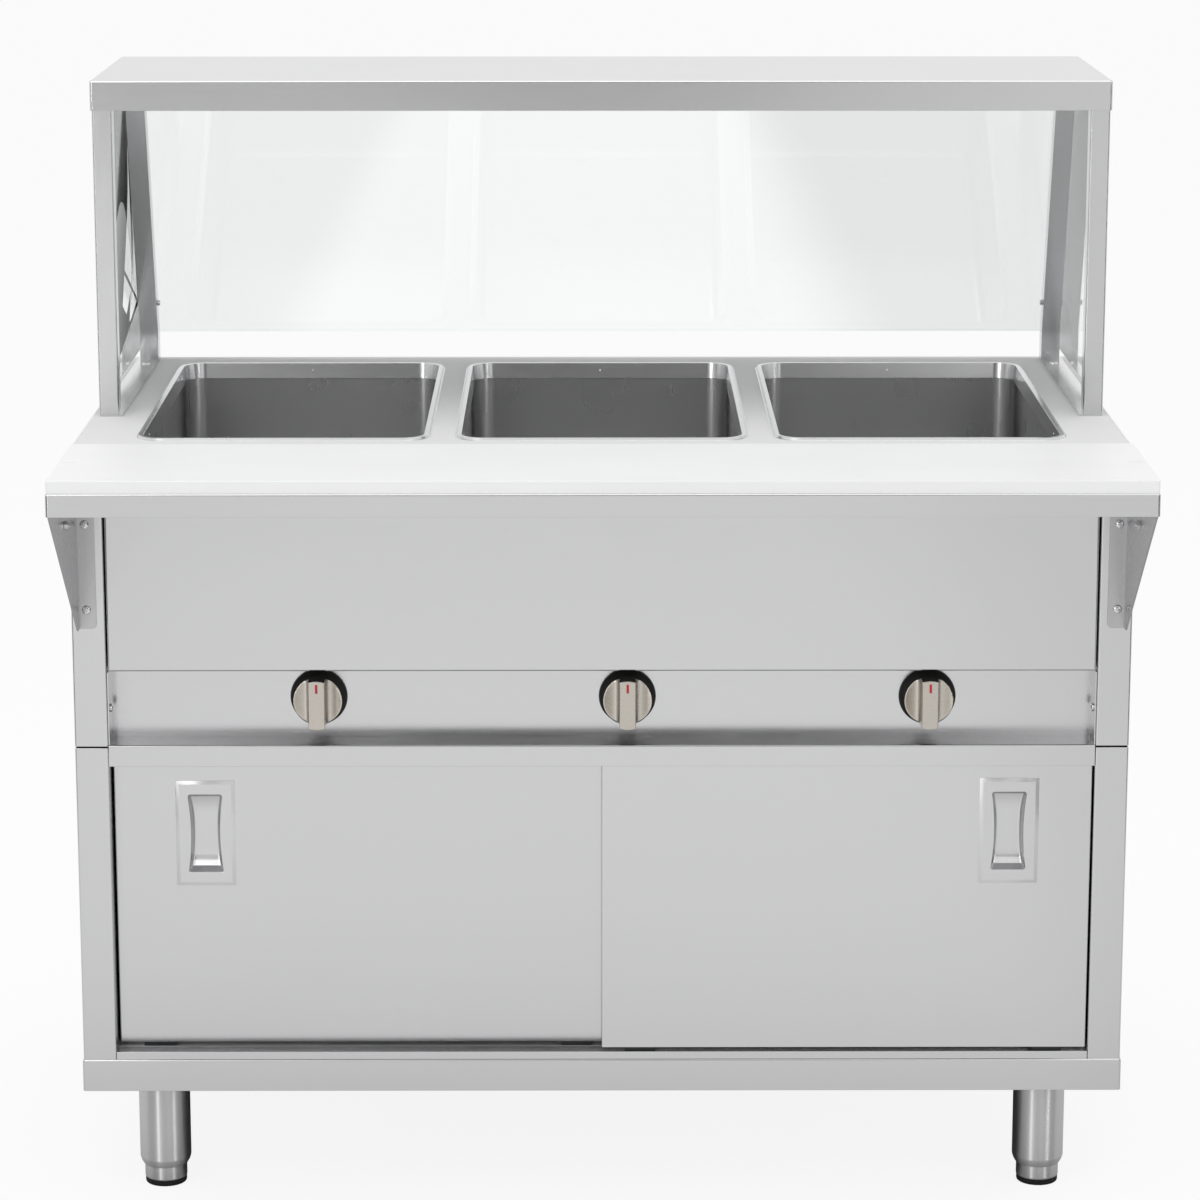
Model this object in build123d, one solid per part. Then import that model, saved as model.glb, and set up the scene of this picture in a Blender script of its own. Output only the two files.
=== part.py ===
from build123d import *
import math
import os

# Three-well electric steam table with a serving guard, a front work shelf and a cabinet
# with two sliding doors. Millimetres. Z up from the floor, +X to the operator's right,
# +Y to the customer. The origin is on the floor under the middle of the whole outline.

# Overall sizes
deck_height = 844.0         # floor to deck surface
body_width = 1140.0         # deck and base shelf
body_depth = 660.0
shelf_reach = 224.0         # work shelf in front of the body
guard_height = 374.0        # deck surface to top of overshelf
gland_reach = 20.0          # supply gland behind the body

# Sheet and fits
sheet = 1.2                 # panels and deck
heavy_sheet = 1.5           # work shelf and base shelf
plate = 2.0                 # brackets, strips and floor plate
bend = 2.2                  # outside radius of a folded edge
nest = 0.1                  # one folded part slid inside another
push_gap = 0.02             # knob on its shaft
running_gap = 0.05          # shaft or pin turning in its bore
free_gap = 0.3              # moving part over a fixed face

# Deck and wells
skirt_depth = 36.0
well_width = 305.0          # opening across
well_length = 510.0         # opening front to back
well_corner = 25.0
well_pitch = 345.6
well_setback = 85.0         # body front to the openings
rim_width = 9.0
rim_height = 2.5
rim_slope = 1.5
collar_depth = 18.0
liner_wall = 1.0
liner_depth = 200.0         # below the top of the rim
liner_gap = 0.15
floor_radius = 12.0
wrap = 12.0                 # insulation on the walls
underlay = 25.0             # insulation under the element
wrap_gap = 0.2
jacket_wall = 0.8
jacket_flange = 4.0

# Heating elements
element_radius = 4.0
element_pitch = 70.0        # between neighbouring passes
element_reach = 200.0       # from the middle of the well to the turns
element_turn = 30.0         # corner cut of each turn
element_drop = 48.0         # leads below the element

# Body columns and panels, heights measured down from the deck surface
column_width = 36.2
column_return = 38.7        # upper columns, beside the control panel
lower_return = 45.7         # lower columns, beside the door tracks
rear_return = 25.0
side_inset = sheet + nest
floor_level = 320.5         # top of the plate between upper and lower body
floor_recess = 6.0
base_height = 169.0         # top of the base shelf over the floor
base_skirt = 36.0
apron_gap = 1.4
apron_bottom = 237.5
apron_proud = 0.8
panel_setback = 39.5        # body front to the control panel face
panel_top = 226.0
rail_drop = 22.5            # mid rail below the plate's top
ledge_tuck = 9.0            # ledge behind the control panel's face
panel_gap = 0.2             # panels between the columns
back_margin = 2.0           # back panels inside the side panels
vent_length = 60.0
vent_height = 4.0
vent_pitch = 14.0
vent_rows = 5

# Supply entry
gland_place = (450.0, 285.0)    # across, and below the deck
gland_thread = 9.9
gland_bore = 6.0
gland_cap = 11.5
gland_hex = 13.0                # half the width across flats

# Knobs and switches
knob_places = {"left": -307.0, "centre": 27.5, "right": 353.0}
knob_level = 274.0
bezel_edge = 1.0            # bezel outside the knob's base
bezel_thick = 2.0
knob_gap = 0.5
knob_base_radius = 30.0
knob_taper = 0.7            # base radius less face radius
knob_depth = 25.0           # bezel to the rim of the face
knob_round = 2.5
bar_half = 8.75
bar_inset = 3.0             # end of the grip bar inside the knob's base
bar_depth = 46.0            # panel to the front of the grip bar
bar_round = 1.2
valley_depth = 22.5         # panel to the lowest line beside the bar
valley_rise = 1.4           # valley's curve, halfway out and at the rim
valley_rim = 5.3
valley_root = 3.4           # small curve where the valley meets the bar
shaft_reach = 18.0          # shaft inside the knob
bore_depth = 20.0
shaft_radius = 3.0
bushing_radius = 5.0
shaft_tail = 14.0           # shaft inside the switch
switch_size = 38.0
switch_depth = 28.0
tab_pitch = 10.0
tab_row = 9.0               # two rows of connector tabs, above and below the middle
tab_size = (6.0, 8.0, 0.8)
block_place = (470.0, 90.0)     # middle across, and front face from the body's rear
block_size = (60.0, 24.0, 18.0)
block_pitch = 14.0
block_pocket = (10.0, 12.0, 6.0)
block_ways = 4

# Sliding doors
door_thick = 17.0
door_sheet = 1.0
door_hem = 10.0
door_top = 332.0
door_lift = 12.5            # doors over the base shelf
door_margin = 2.0           # door end to the column
door_meeting = {"left": 14.5, "right": -0.6}
track_lip = 8.5             # height of the bottom track's lips over the base
track_web = 1.0             # floor of the bottom track
track_leg = 18.5            # legs of the top track
door_clear = 1.4            # door face to track lip
roller_inset = 42.5         # from each door end
roller_radius = 12.0
roller_width = 6.0
pin_radius = 2.5
frame_length = 33.0
frame_cheek = 1.5
frame_drop = 8.0

# Door pulls
pull_insets = {"left": 98.7, "right": 89.5}        # from the door's outer end
pull_drops = {"left": 424.0, "right": 416.0}
pull_width = 64.5
pull_height = 118.0
pull_edge = 0.4
pull_proud = 2.0
pull_bevel = 4.0
recess_height = 88.0
recess_width = 38.7
recess_waist = 31.7
recess_floor = 10.0
cup_width = 43.0
cup_height = 93.0
cup_depth = 12.0

# Legs and feet
leg_side = 80.5             # leg axis from the end of the body
leg_inset = 80.0
leg_radius = 28.5
leg_wall = 1.5
leg_end = 22.5              # levels over the floor
leg_bevel = 8.0
mouth_gap = 0.5             # mouth of the leg around the foot's sleeve
leg_plate = 100.0
leg_plate_thick = 3.0
leg_plate_corner = 6.0
mouth_rim = 0.8             # flat ring around the mouth
nut_level = 67.0
nut_thick = 8.0
stem_radius = 6.0
stem_top = 104.0
sleeve_radius = 23.5
sleeve_top = 47.0
sleeve_end = 6.5
tip_step = 0.5              # tip inside the sleeve

# Work shelf, board and brackets
shelf_margin = 7.0          # shelf end inside the body's end
shelf_lip = 24.0
board_margin = 0.5          # board end inside the shelf's end
board_depth = 212.0
board_thick = 13.0
board_setback = 2.0
slot_length = 15.0
slot_width = 2.0
slot_place = (11.5, 104.0)      # from the board's end, and behind its front edge
bracket_width = 20.0
bracket_foot = 190.0
bracket_toe = 10.0
flange_top = 37.0
flange_corner = 5.0
flange_screws = (76.0, 169.0)
web_screw = (104.0, 56.0)       # in front of the body, below the deck

# Serving guard
guard_margin = 9.5          # front uprights inside the body's end
post = 22.0
post_wall = 1.5
post_radius = 2.0
front_post_y = 233.0        # behind the body front
rear_post_inset = 45.0      # in front of the body's rear
strip_inset = 15.0
strip_width = 26.5
rear_foot = 38.0
lean = 0.3366               # forward per unit of height
glass = 5.0
seat_gap = 0.1              # customer glass on its gasket tape
side_glass_bottom = 16.0
rear_glass_bottom = 34.0
glass_top = 370.0
overshelf_side = 0.3        # overshelf lip outside the front uprights
overshelf_front = 230.0
overshelf_rear = 14.5       # overshelf lip behind the top of the customer glass
overshelf_lip = 33.0
bolt_level = 73.0
bolt_radius = 3.0

# Screws
screw_radius = 2.5
head_radius = 4.75
head_height = 2.6
head_round = 1.4
nut_half = 4.0              # half the width across flats
screw_nut = 4.0
thread_end = 2.0            # thread past the nut
hole_gap = 0.25
strip_screw = (14.5, 25.0)      # from the strip's outer edge, and in front of the rear uprights
bracket_screw = 9.7             # from the bracket's web
flange_screw = (19.5, 282.0)    # in front of the control panel, below the deck

# Places worked out from the sizes
overall_depth = shelf_reach + body_depth + gland_reach
y_front = shelf_reach - overall_depth / 2
y_rear = y_front + body_depth
half = body_width / 2
z_deck = deck_height
base_level = deck_height - base_height
door_bottom = base_level - door_lift
well_y = y_front + well_setback + well_length / 2
well_xs = [-well_pitch, 0.0, well_pitch]
side_outer = half - side_inset
column_inner = side_outer - column_width
front_plane = y_front + side_inset
back_plane = y_rear - side_inset - sheet
panel_y = y_front + panel_setback
liner_inner_x = well_width + 2 * (sheet + liner_gap)
liner_inner_y = well_length + 2 * (sheet + liner_gap)
liner_floor = z_deck + rim_height - liner_depth
element_z = liner_floor - element_radius
underlay_top = element_z - element_radius - free_gap
track_pitch = door_thick + 2 * door_clear + sheet
track_lips = [front_plane + i * track_pitch for i in range(3)]
door_faces = {"right": track_lips[0] + sheet + door_clear, "left": track_lips[1] + sheet + door_clear}
door_end = column_inner - door_margin
door_spans = {"left": (-door_end, door_meeting["left"]), "right": (door_meeting["right"], door_end)}
pull_places = {"left": (pull_insets["left"] - door_end, pull_drops["left"]),
               "right": (door_end - pull_insets["right"], pull_drops["right"])}
roller_z = base_height + track_web + free_gap + roller_radius
leg_x = half - leg_side
leg_mouth = sleeve_radius + mouth_gap
shelf_half = half - shelf_margin
board_width = 2 * (shelf_half - board_margin)
bracket_outer = shelf_half - heavy_sheet
bracket_screw_x = bracket_outer - bracket_screw
guard_half = half - guard_margin
rear_post_outer = guard_half - glass
rear_post_y = body_depth - rear_post_inset
strip_screw_x = guard_half - strip_screw[0]
strip_screw_y = y_front + rear_post_y - strip_screw[1]


def slab(x0, x1, y0, y1, z0, z1):
    """Box between two corners."""
    return Pos((x0 + x1) / 2, (y0 + y1) / 2, (z0 + z1) / 2) * Box(x1 - x0, y1 - y0, z1 - z0)


def block(width, length, radius, z0, z1, x, y):
    """Upright block with rounded corners."""
    return extrude(Pos(x, y, z0) * RectangleRounded(width, length, radius), z1 - z0)


def rod_x(radius, x0, x1, y, z):
    """Round bar along X."""
    return Pos((x0 + x1) / 2, y, z) * Rot(0, 90, 0) * Cylinder(radius, abs(x1 - x0))


def rod_y(radius, x, y0, y1, z):
    """Round bar along Y."""
    return Pos(x, (y0 + y1) / 2, z) * Rot(90, 0, 0) * Cylinder(radius, abs(y1 - y0))


def rod_z(radius, x, y, z0, z1):
    """Round bar along Z."""
    return Pos(x, y, (z0 + z1) / 2) * Cylinder(radius, abs(z1 - z0))


def folded(points, thick, plane, length):
    """Sheet bent along an outline, its thickness to the left of the path, drawn out from the plane."""
    with BuildSketch(plane) as section:
        with BuildLine():
            FilletPolyline(*points, radius=bend)
            offset(amount=thick, side=Side.LEFT)
        make_face()
    return extrude(section.sketch, length)


def pan(x_half, y0, y1, z_top, depth, thick, radius):
    """Flat top with a lip turned down on all four sides."""
    outer = slab(-x_half, x_half, y0, y1, z_top - depth, z_top)
    outer = fillet(outer.edges().filter_by(Axis.Z), radius)
    outer = fillet(outer.faces().sort_by(Axis.Z)[-1].edges(), min(radius, bend))
    inner = slab(-x_half + thick, x_half - thick, y0 + thick, y1 - thick,
                 z_top - depth - 1, z_top - thick)
    inner = fillet(inner.edges().filter_by(Axis.Z), radius - thick)
    return outer - inner


def both(shape):
    """The right-hand piece and its mirror image."""
    return [shape, mirror(shape, about=Plane.YZ)]


def solids_of(items):
    """All solids in a shape or a list of shapes."""
    found = []
    for item in items:
        found.extend(item.solids())
    return found


def save(name, *items):
    """One file per sub-part, with its separate solids grouped."""
    found = solids_of(items)
    shape = found[0] if len(found) == 1 else Compound(children=found)
    export_step(shape, "parts/" + name + ".step")


def screw(place, grip):
    """Pan-head screw with its nut. The place's Z points out of the head, grip is what it clamps."""
    head = Pos(0, 0, head_height / 2) * Cylinder(head_radius, head_height)
    head = chamfer(head.edges().sort_by(Axis.Z)[-1], head_round)
    reach = grip + screw_nut + thread_end
    shank = Pos(0, 0, -reach / 2) * Cylinder(screw_radius, reach)
    nut = extrude(Pos(0, 0, -grip - screw_nut) * RegularPolygon(nut_half, 6, major_radius=False), screw_nut)
    return place.location * (head + shank + nut)


def facing(x, y, z, direction):
    """Plane whose Z looks along the direction and whose Y is up where it can be."""
    x_dir = {(0, -1, 0): (1, 0, 0), (0, 0, 1): (1, 0, 0), (1, 0, 0): (0, 1, 0), (-1, 0, 0): (0, -1, 0)}
    return Plane(origin=(x, y, z), x_dir=x_dir[direction], z_dir=direction)


# The deck: rims raised around the openings, collars turned down inside them
def deck():
    body = pan(half, y_front, y_rear, z_deck, skirt_depth, sheet, 3.0)
    rim_x = well_width + 2 * rim_width
    rim_y = well_length + 2 * rim_width
    rim_corner = well_corner + rim_width
    for x in well_xs:
        rim = block(rim_x, rim_y, rim_corner, z_deck - sheet, z_deck + rim_height, x, well_y)
        rim = chamfer(rim.faces().sort_by(Axis.Z)[-1].edges(), rim_slope)
        under = block(rim_x - 2 * sheet, rim_y - 2 * sheet, rim_corner - sheet,
                      z_deck - sheet, z_deck + rim_height - sheet, x, well_y)
        collar = block(well_width + 2 * sheet, well_length + 2 * sheet, well_corner + sheet,
                       z_deck + rim_height - collar_depth, z_deck + rim_height - sheet, x, well_y)
        mouth = block(well_width, well_length, well_corner,
                      z_deck - 2 * collar_depth, z_deck + 2 * rim_height, x, well_y)
        body = body + rim - under + collar - mouth
        lip = body.edges().filter_by(lambda e: abs(e.center().Z - z_deck - rim_height) < 0.01
                                     and abs(e.center().X - x) < well_width / 2 + 0.1
                                     and abs(e.center().Y - well_y) < well_length / 2 + 0.1)
        body = chamfer(lip, rim_slope / 2)
    for side in (-1, 1):
        body -= rod_z(screw_radius + hole_gap, side * strip_screw_x, strip_screw_y, z_deck - 5, z_deck + 5)
    return body


def well_liner(x):
    top = z_deck + rim_height - sheet
    outer = block(liner_inner_x + 2 * liner_wall, liner_inner_y + 2 * liner_wall,
                  well_corner + sheet + liner_gap + liner_wall, liner_floor, top, x, well_y)
    outer = chamfer(outer.faces().sort_by(Axis.Z)[0].edges(), floor_radius / 2)
    inner = block(liner_inner_x, liner_inner_y, well_corner + sheet + liner_gap,
                  liner_floor + liner_wall, top + 1, x, well_y)
    inner = fillet(inner.faces().sort_by(Axis.Z)[0].edges(), floor_radius - liner_wall)
    return outer - inner


wrap_inner_x = liner_inner_x + 2 * (liner_wall + wrap_gap)
wrap_inner_y = liner_inner_y + 2 * (liner_wall + wrap_gap)
wrap_corner = well_corner + sheet + liner_gap + liner_wall + wrap_gap
jacket_inner_x = wrap_inner_x + 2 * (wrap + wrap_gap)
jacket_inner_y = wrap_inner_y + 2 * (wrap + wrap_gap)
underlay_bottom = underlay_top - underlay
lead_y = well_y - element_reach - 15


def lead_holes(x, z0, z1):
    """Clearance for the two leads of a heating element."""
    span = 1.5 * element_pitch
    return [rod_z(element_radius + 0.5, x + side * span, lead_y, z0, z1) for side in (-1, 1)]


def well_insulation(x):
    body = block(wrap_inner_x + 2 * wrap, wrap_inner_y + 2 * wrap, bend,
                 underlay_bottom, z_deck - sheet - free_gap, x, well_y)
    body -= block(wrap_inner_x, wrap_inner_y, wrap_corner, underlay_top, z_deck, x, well_y)
    for hole in lead_holes(x, underlay_bottom - 1, underlay_top + 1):
        body -= hole
    return body


def well_jacket(x):
    top = z_deck - sheet
    outer_x = jacket_inner_x + 2 * jacket_wall
    outer_y = jacket_inner_y + 2 * jacket_wall
    body = block(outer_x, outer_y, bend, underlay_bottom - jacket_wall, top, x, well_y)
    body += block(outer_x + 2 * jacket_flange, outer_y + 2 * jacket_flange, bend,
                  top - jacket_wall, top, x, well_y)
    body -= block(jacket_inner_x, jacket_inner_y, bend - jacket_wall, underlay_bottom, top + 1, x, well_y)
    for hole in lead_holes(x, underlay_bottom - 2, underlay_bottom + 1):
        body -= hole
    return body


def heating_element(x):
    """One tube bent to four passes under the well, with both leads turned down."""
    near = element_pitch / 2
    far = 1.5 * element_pitch
    back = well_y + element_reach
    front = well_y - element_reach + 20
    low = element_z - element_drop
    flat = [(-far, lead_y), (-far, back - element_turn), (-far + element_turn / 2, back),
            (-near - element_turn / 2, back), (-near, back - element_turn),
            (-near, front + element_turn), (-near + element_turn / 2, front)]
    flat += [(-px, py) for px, py in reversed(flat)]
    path = [(px, py, element_z) for px, py in flat]
    path = [(-far, lead_y, low)] + path + [(far, lead_y, low)]
    start = Plane(origin=path[0], z_dir=(0, 0, 1))
    tube = sweep(start * Circle(element_radius), Polyline(*path), transition=Transition.RIGHT)
    return Pos(x, 0, 0) * tube


# Body: folded sides, back panels, the plate between upper and lower part, and the base
def folded_side(z0, z1, front_return):
    points = [(column_inner, front_plane + front_return), (column_inner, front_plane),
              (side_outer, front_plane), (side_outer, back_plane), (side_outer - rear_return, back_plane)]
    return folded(points, sheet, Plane.XY.offset(z0), z1 - z0)


def upper_side():
    body = folded_side(z_deck - floor_level, z_deck - sheet, column_return)
    for drop in flange_screws:
        body -= rod_y(screw_radius + hole_gap, bracket_screw_x, front_plane - 5, front_plane + 5,
                      z_deck - drop)
    body -= rod_x(screw_radius + hole_gap, column_inner - 5, column_inner + 5, flange_screw_y, flange_screw_z)
    return body


def lower_side():
    return folded_side(base_height, z_deck - floor_level - plate, lower_return)


def back_panel(z0, z1):
    return slab(-side_outer + back_margin, side_outer - back_margin, back_plane, back_plane + sheet, z0, z1)


def upper_back():
    body = back_panel(z_deck - floor_level, z_deck - sheet - 1)
    for side in (-1, 1):
        for row in range(vent_rows):
            level = z_deck - 100 - row * vent_pitch
            slot = Pos(side * 300, back_plane, level) * Rot(90, 0, 0) * SlotOverall(vent_length, vent_height)
            body -= extrude(slot, 5, both=True)
    body -= rod_y(gland_thread + 0.1, gland_x, back_plane - 5, back_plane + 5, gland_z)
    return body


def compartment_floor():
    return slab(-side_outer + floor_recess, side_outer - floor_recess, front_plane + floor_recess,
                back_plane + sheet - floor_recess, z_deck - floor_level - plate, z_deck - floor_level)


def base_shelf():
    return pan(half, y_front, y_rear, base_height, base_skirt, heavy_sheet, 3.0)


# Front: apron, control panel and the rail under it
panel_half = column_inner - panel_gap
ledge_top = z_deck - floor_level + sheet
flange_screw_y = panel_y - flange_screw[0]
flange_screw_z = z_deck - flange_screw[1]


def apron_panel():
    across = column_inner - apron_gap
    low = z_deck - apron_bottom
    high = z_deck - skirt_depth - free_gap
    face = y_front + sheet + nest - apron_proud
    body = slab(-across, across, face, panel_y, low, high)
    edges = body.edges().filter_by(Axis.Z).sort_by(Axis.Y)[:2]
    edges += body.edges().filter_by(Axis.X).sort_by(Axis.Y)[:2].sort_by(Axis.Z)[:1]
    body = fillet(edges, 3.0)
    hollow = slab(-across + sheet, across - sheet, face + sheet, panel_y + 1, low + sheet, high + 1)
    hollow = fillet(hollow.edges().filter_by(Axis.Z).sort_by(Axis.Y)[:2], 3.0 - sheet)
    return body - hollow


def control_panel():
    top = z_deck - panel_top
    body = slab(-panel_half, panel_half, panel_y, panel_y + sheet, ledge_top, top)
    for side in (-1, 1):
        x = side * (panel_half - sheet / 2)
        flange = slab(x - sheet / 2, x + sheet / 2, front_plane + 1.5, panel_y + sheet,
                      ledge_top, z_deck - apron_bottom - 1.5)
        body += flange
        body -= rod_x(screw_radius + hole_gap, x - 5, x + 5, flange_screw_y, flange_screw_z)
    for x in knob_places.values():
        body -= rod_y(bushing_radius + 0.1, x, panel_y - 5, panel_y + 5, z_deck - knob_level)
    return body


def mid_rail():
    low = z_deck - floor_level - rail_drop
    points = [(panel_y + ledge_tuck, ledge_top), (front_plane, ledge_top), (front_plane, low)]
    return folded(points, sheet, Plane.YZ.offset(-panel_half), 2 * panel_half)


# Controls
def heat_switch(x):
    z = z_deck - knob_level
    rear = panel_y + sheet
    body = slab(x - switch_size / 2, x + switch_size / 2, rear, rear + switch_depth,
                z - switch_size / 2, z + switch_size / 2)
    body = fillet(body.edges().filter_by(Axis.Y), 3.0)
    body += rod_y(bushing_radius, x, panel_y - bezel_thick, rear, z)
    body -= rod_y(shaft_radius + running_gap, x, panel_y - 10, rear + shaft_tail + 1, z)
    wide, long, thick = tab_size
    for side in (-1, 1):
        for place in (-tab_pitch, 0, tab_pitch):
            row = z + side * tab_row
            body += slab(x + place - wide / 2, x + place + wide / 2, rear + switch_depth,
                         rear + switch_depth + long, row - thick / 2, row + thick / 2)
    return body


def knob_bezel(x):
    ring = Cylinder(knob_base_radius + bezel_edge, bezel_thick) - Cylinder(bushing_radius + 1, bezel_thick)
    ring = chamfer(ring.faces().sort_by(Axis.Z)[-1].outer_wire().edges(), 0.8)
    return facing(x, panel_y - bezel_thick / 2, z_deck - knob_level, (0, -1, 0)).location * ring


def knob_shaft(x):
    return rod_y(shaft_radius, x, panel_y - bezel_thick - shaft_reach, panel_y + sheet + shaft_tail,
                 z_deck - knob_level)


def knob(x):
    """Tapered body with a proud grip bar between two scooped valleys."""
    start = bezel_thick + knob_gap
    skirt = Cone(knob_base_radius, knob_base_radius - knob_taper, knob_depth)
    skirt = Pos(0, 0, start + knob_depth / 2) * skirt
    skirt = fillet(skirt.edges().sort_by(Axis.Z)[-1], knob_round)
    grip = Cylinder(knob_base_radius - bar_inset, bar_depth - start)
    grip = Pos(0, 0, (start + bar_depth) / 2) * grip
    body = skirt + grip
    root = (bar_half, valley_depth + valley_root)
    lowest = (bar_half + valley_root, valley_depth)
    rim = (knob_base_radius + 2, valley_depth + valley_rim)
    halfway = ((lowest[0] + rim[0]) / 2, valley_depth + valley_rise)
    corner = (bar_half + valley_root * 0.29, valley_depth + valley_root * 0.29)
    with BuildSketch(Plane.XZ) as scoop:
        with BuildLine():
            Polyline(root, (bar_half, bar_depth + 2), (rim[0], bar_depth + 2), rim)
            ThreePointArc(rim, halfway, lowest)
            ThreePointArc(lowest, corner, root)
        make_face()
    for shape in both(extrude(scoop.sketch, knob_base_radius + 2, both=True)):
        body -= shape
    body = fillet(body.faces().sort_by(Axis.Z)[-1].edges(), bar_round)
    body -= Pos(0, 0, bore_depth / 2) * Cylinder(shaft_radius + push_gap, bore_depth + 0.5)
    return facing(x, panel_y, z_deck - knob_level, (0, -1, 0)).location * body


gland_x = -gland_place[0]
gland_z = z_deck - gland_place[1]


def supply_gland():
    outside = back_plane + sheet
    body = rod_y(gland_cap, gland_x, outside, y_rear + gland_reach, gland_z)
    body = chamfer(body.edges().sort_by(Axis.Y)[-1], 3.0)
    flats = RegularPolygon(gland_hex, 6, major_radius=False)
    body += extrude(Pos(gland_x, outside + 6, gland_z) * Rot(90, 0, 0) * flats, 6)
    body += rod_y(gland_thread, gland_x, back_plane - 8, outside, gland_z)
    body += extrude(Pos(gland_x, back_plane, gland_z) * Rot(90, 0, 0) * flats, 4)
    body -= rod_y(gland_bore, gland_x, back_plane - 10, y_rear + gland_reach + 1, gland_z)
    return body


def terminal_block():
    wide, long, high = block_size
    cut_x, cut_y, cut_z = block_pocket
    x0 = -block_place[0] - wide / 2
    y0 = y_rear - block_place[1]
    z1 = z_deck - floor_level + high
    body = slab(x0, x0 + wide, y0, y0 + long, z1 - high, z1)
    first = x0 + (wide - (block_ways - 1) * block_pitch - cut_x) / 2
    for i in range(block_ways):
        x = first + i * block_pitch
        body -= slab(x, x + cut_x, y0 + (long - cut_y) / 2, y0 + (long + cut_y) / 2, z1 - cut_z, z1 + 1)
    return body


# Doors, tracks and rollers
def track_bottom():
    body = slab(-panel_half, panel_half, track_lips[0], track_lips[2] + sheet,
                base_height, base_height + track_web)
    for y in track_lips:
        body += slab(-panel_half, panel_half, y, y + sheet, base_height, base_height + track_lip)
    return body


def track_top():
    top = z_deck - floor_level - plate
    body = slab(-panel_half, panel_half, track_lips[0] + sheet + 0.2, track_lips[2] + sheet, top - sheet, top)
    for y in track_lips[1:]:
        body += slab(-panel_half, panel_half, y, y + sheet, top - track_leg, top)
    return body


def roller_places(side):
    x0, x1 = door_spans[side]
    return [x0 + roller_inset, x1 - roller_inset]


def door(side):
    """Folded pan with hemmed edges, a cut-out for the pull and slots for the roller frames."""
    x0, x1 = door_spans[side]
    y = door_faces[side]
    low = z_deck - door_bottom
    high = z_deck - door_top
    body = slab(x0, x1, y, y + door_thick, low, high)
    body = fillet(body.edges().filter_by(Axis.Z).sort_by(Axis.Y)[:2], 1.6)
    body -= slab(x0 + door_sheet, x1 - door_sheet, y + door_sheet, y + door_thick - door_sheet,
                 low + door_sheet, high - door_sheet)
    body -= slab(x0 + door_hem, x1 - door_hem, y + door_thick / 2, y + door_thick + 1,
                 low + door_hem, high - door_hem)
    px, drop = pull_places[side]
    body -= slab(px - cup_width / 2 - 0.4, px + cup_width / 2 + 0.4, y - 1, y + 2,
                 z_deck - drop - cup_height / 2 - 0.4, z_deck - drop + cup_height / 2 + 0.4)
    mid = y + door_thick / 2
    slot = roller_width / 2 + 0.5 + frame_cheek + 0.25
    for x in roller_places(side):
        body -= slab(x - frame_length / 2 - 0.5, x + frame_length / 2 + 0.5, mid - slot, mid + slot,
                     low - 1, low + door_sheet + 0.5)
    return body


def pull(side):
    """Bevelled plate with an hourglass recess whose floor sweeps forward at the bottom."""
    px, drop = pull_places[side]
    body = extrude(Rectangle(pull_width, pull_height), pull_edge)
    face = Rectangle(pull_width - 2 * pull_bevel, pull_height - 2 * pull_bevel)
    bevel = loft([Pos(0, 0, pull_edge) * Rectangle(pull_width, pull_height), Pos(0, 0, pull_proud) * face])
    cup = extrude(RectangleRounded(cup_width, cup_height, 3), -cup_depth)
    body = body + bevel + cup
    top = recess_height / 2
    wide = recess_width / 2
    with BuildSketch() as outline:
        with BuildLine():
            Line((-wide, top), (wide, top))
            ThreePointArc((wide, top), (recess_waist / 2, 0), (wide, -top))
            Line((wide, -top), (-wide, -top))
            ThreePointArc((-wide, -top), (-recess_waist / 2, 0), (-wide, top))
        make_face()
        fillet(outline.vertices(), 3)
    shaft = extrude(outline.sketch, 40, both=True)
    deep = -recess_floor
    with BuildSketch(Plane.YZ) as sweep_section:
        with BuildLine():
            Polyline((-top, 10), (-top, pull_proud), (2.9 - top, -3))
            ThreePointArc((2.9 - top, -3), (5.1 - top, -5.9), (13.8 - top, deep))
            ThreePointArc((13.8 - top, deep), (6, deep - 0.4), (top - 3, deep))
            ThreePointArc((top - 3, deep), (top - 0.9, deep + 0.9), (top, deep + 3))
            Polyline((top, deep + 3), (top, 10), (-top, 10))
        make_face()
    body -= shaft & extrude(sweep_section.sketch, 40, both=True)
    return facing(px, door_faces[side], z_deck - drop, (0, -1, 0)).location * body


def roller_frame(side, x):
    """Top-hat frame on the door's bottom return, with the roller pin in its cheeks."""
    mid = door_faces[side] + door_thick / 2
    seat = z_deck - door_bottom + door_sheet
    inner = roller_width / 2 + 0.5
    outer = inner + frame_cheek
    crown = roller_z + roller_radius + 3
    ends = (x - frame_length / 2, x + frame_length / 2)
    body = slab(*ends, mid - outer, mid + outer, roller_z - frame_drop, crown)
    body += slab(*ends, mid - 7.3, mid + 7.3, seat, seat + frame_cheek)
    body -= slab(ends[0] - 1, ends[1] + 1, mid - inner, mid + inner,
                 roller_z - frame_drop - 1, crown - frame_cheek)
    body += rod_y(pin_radius, x, mid - outer, mid + outer, roller_z)
    return body


def roller(side, x):
    mid = door_faces[side] + door_thick / 2
    wheel = rod_y(roller_radius, x, mid - roller_width / 2, mid + roller_width / 2, roller_z)
    wheel = chamfer(wheel.edges(), 0.6)
    return wheel - rod_y(pin_radius + running_gap, x, mid - roller_width, mid + roller_width, roller_z)


# Legs and feet
leg_ys = {"front": y_front + leg_inset, "rear": y_rear - leg_inset}


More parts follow.
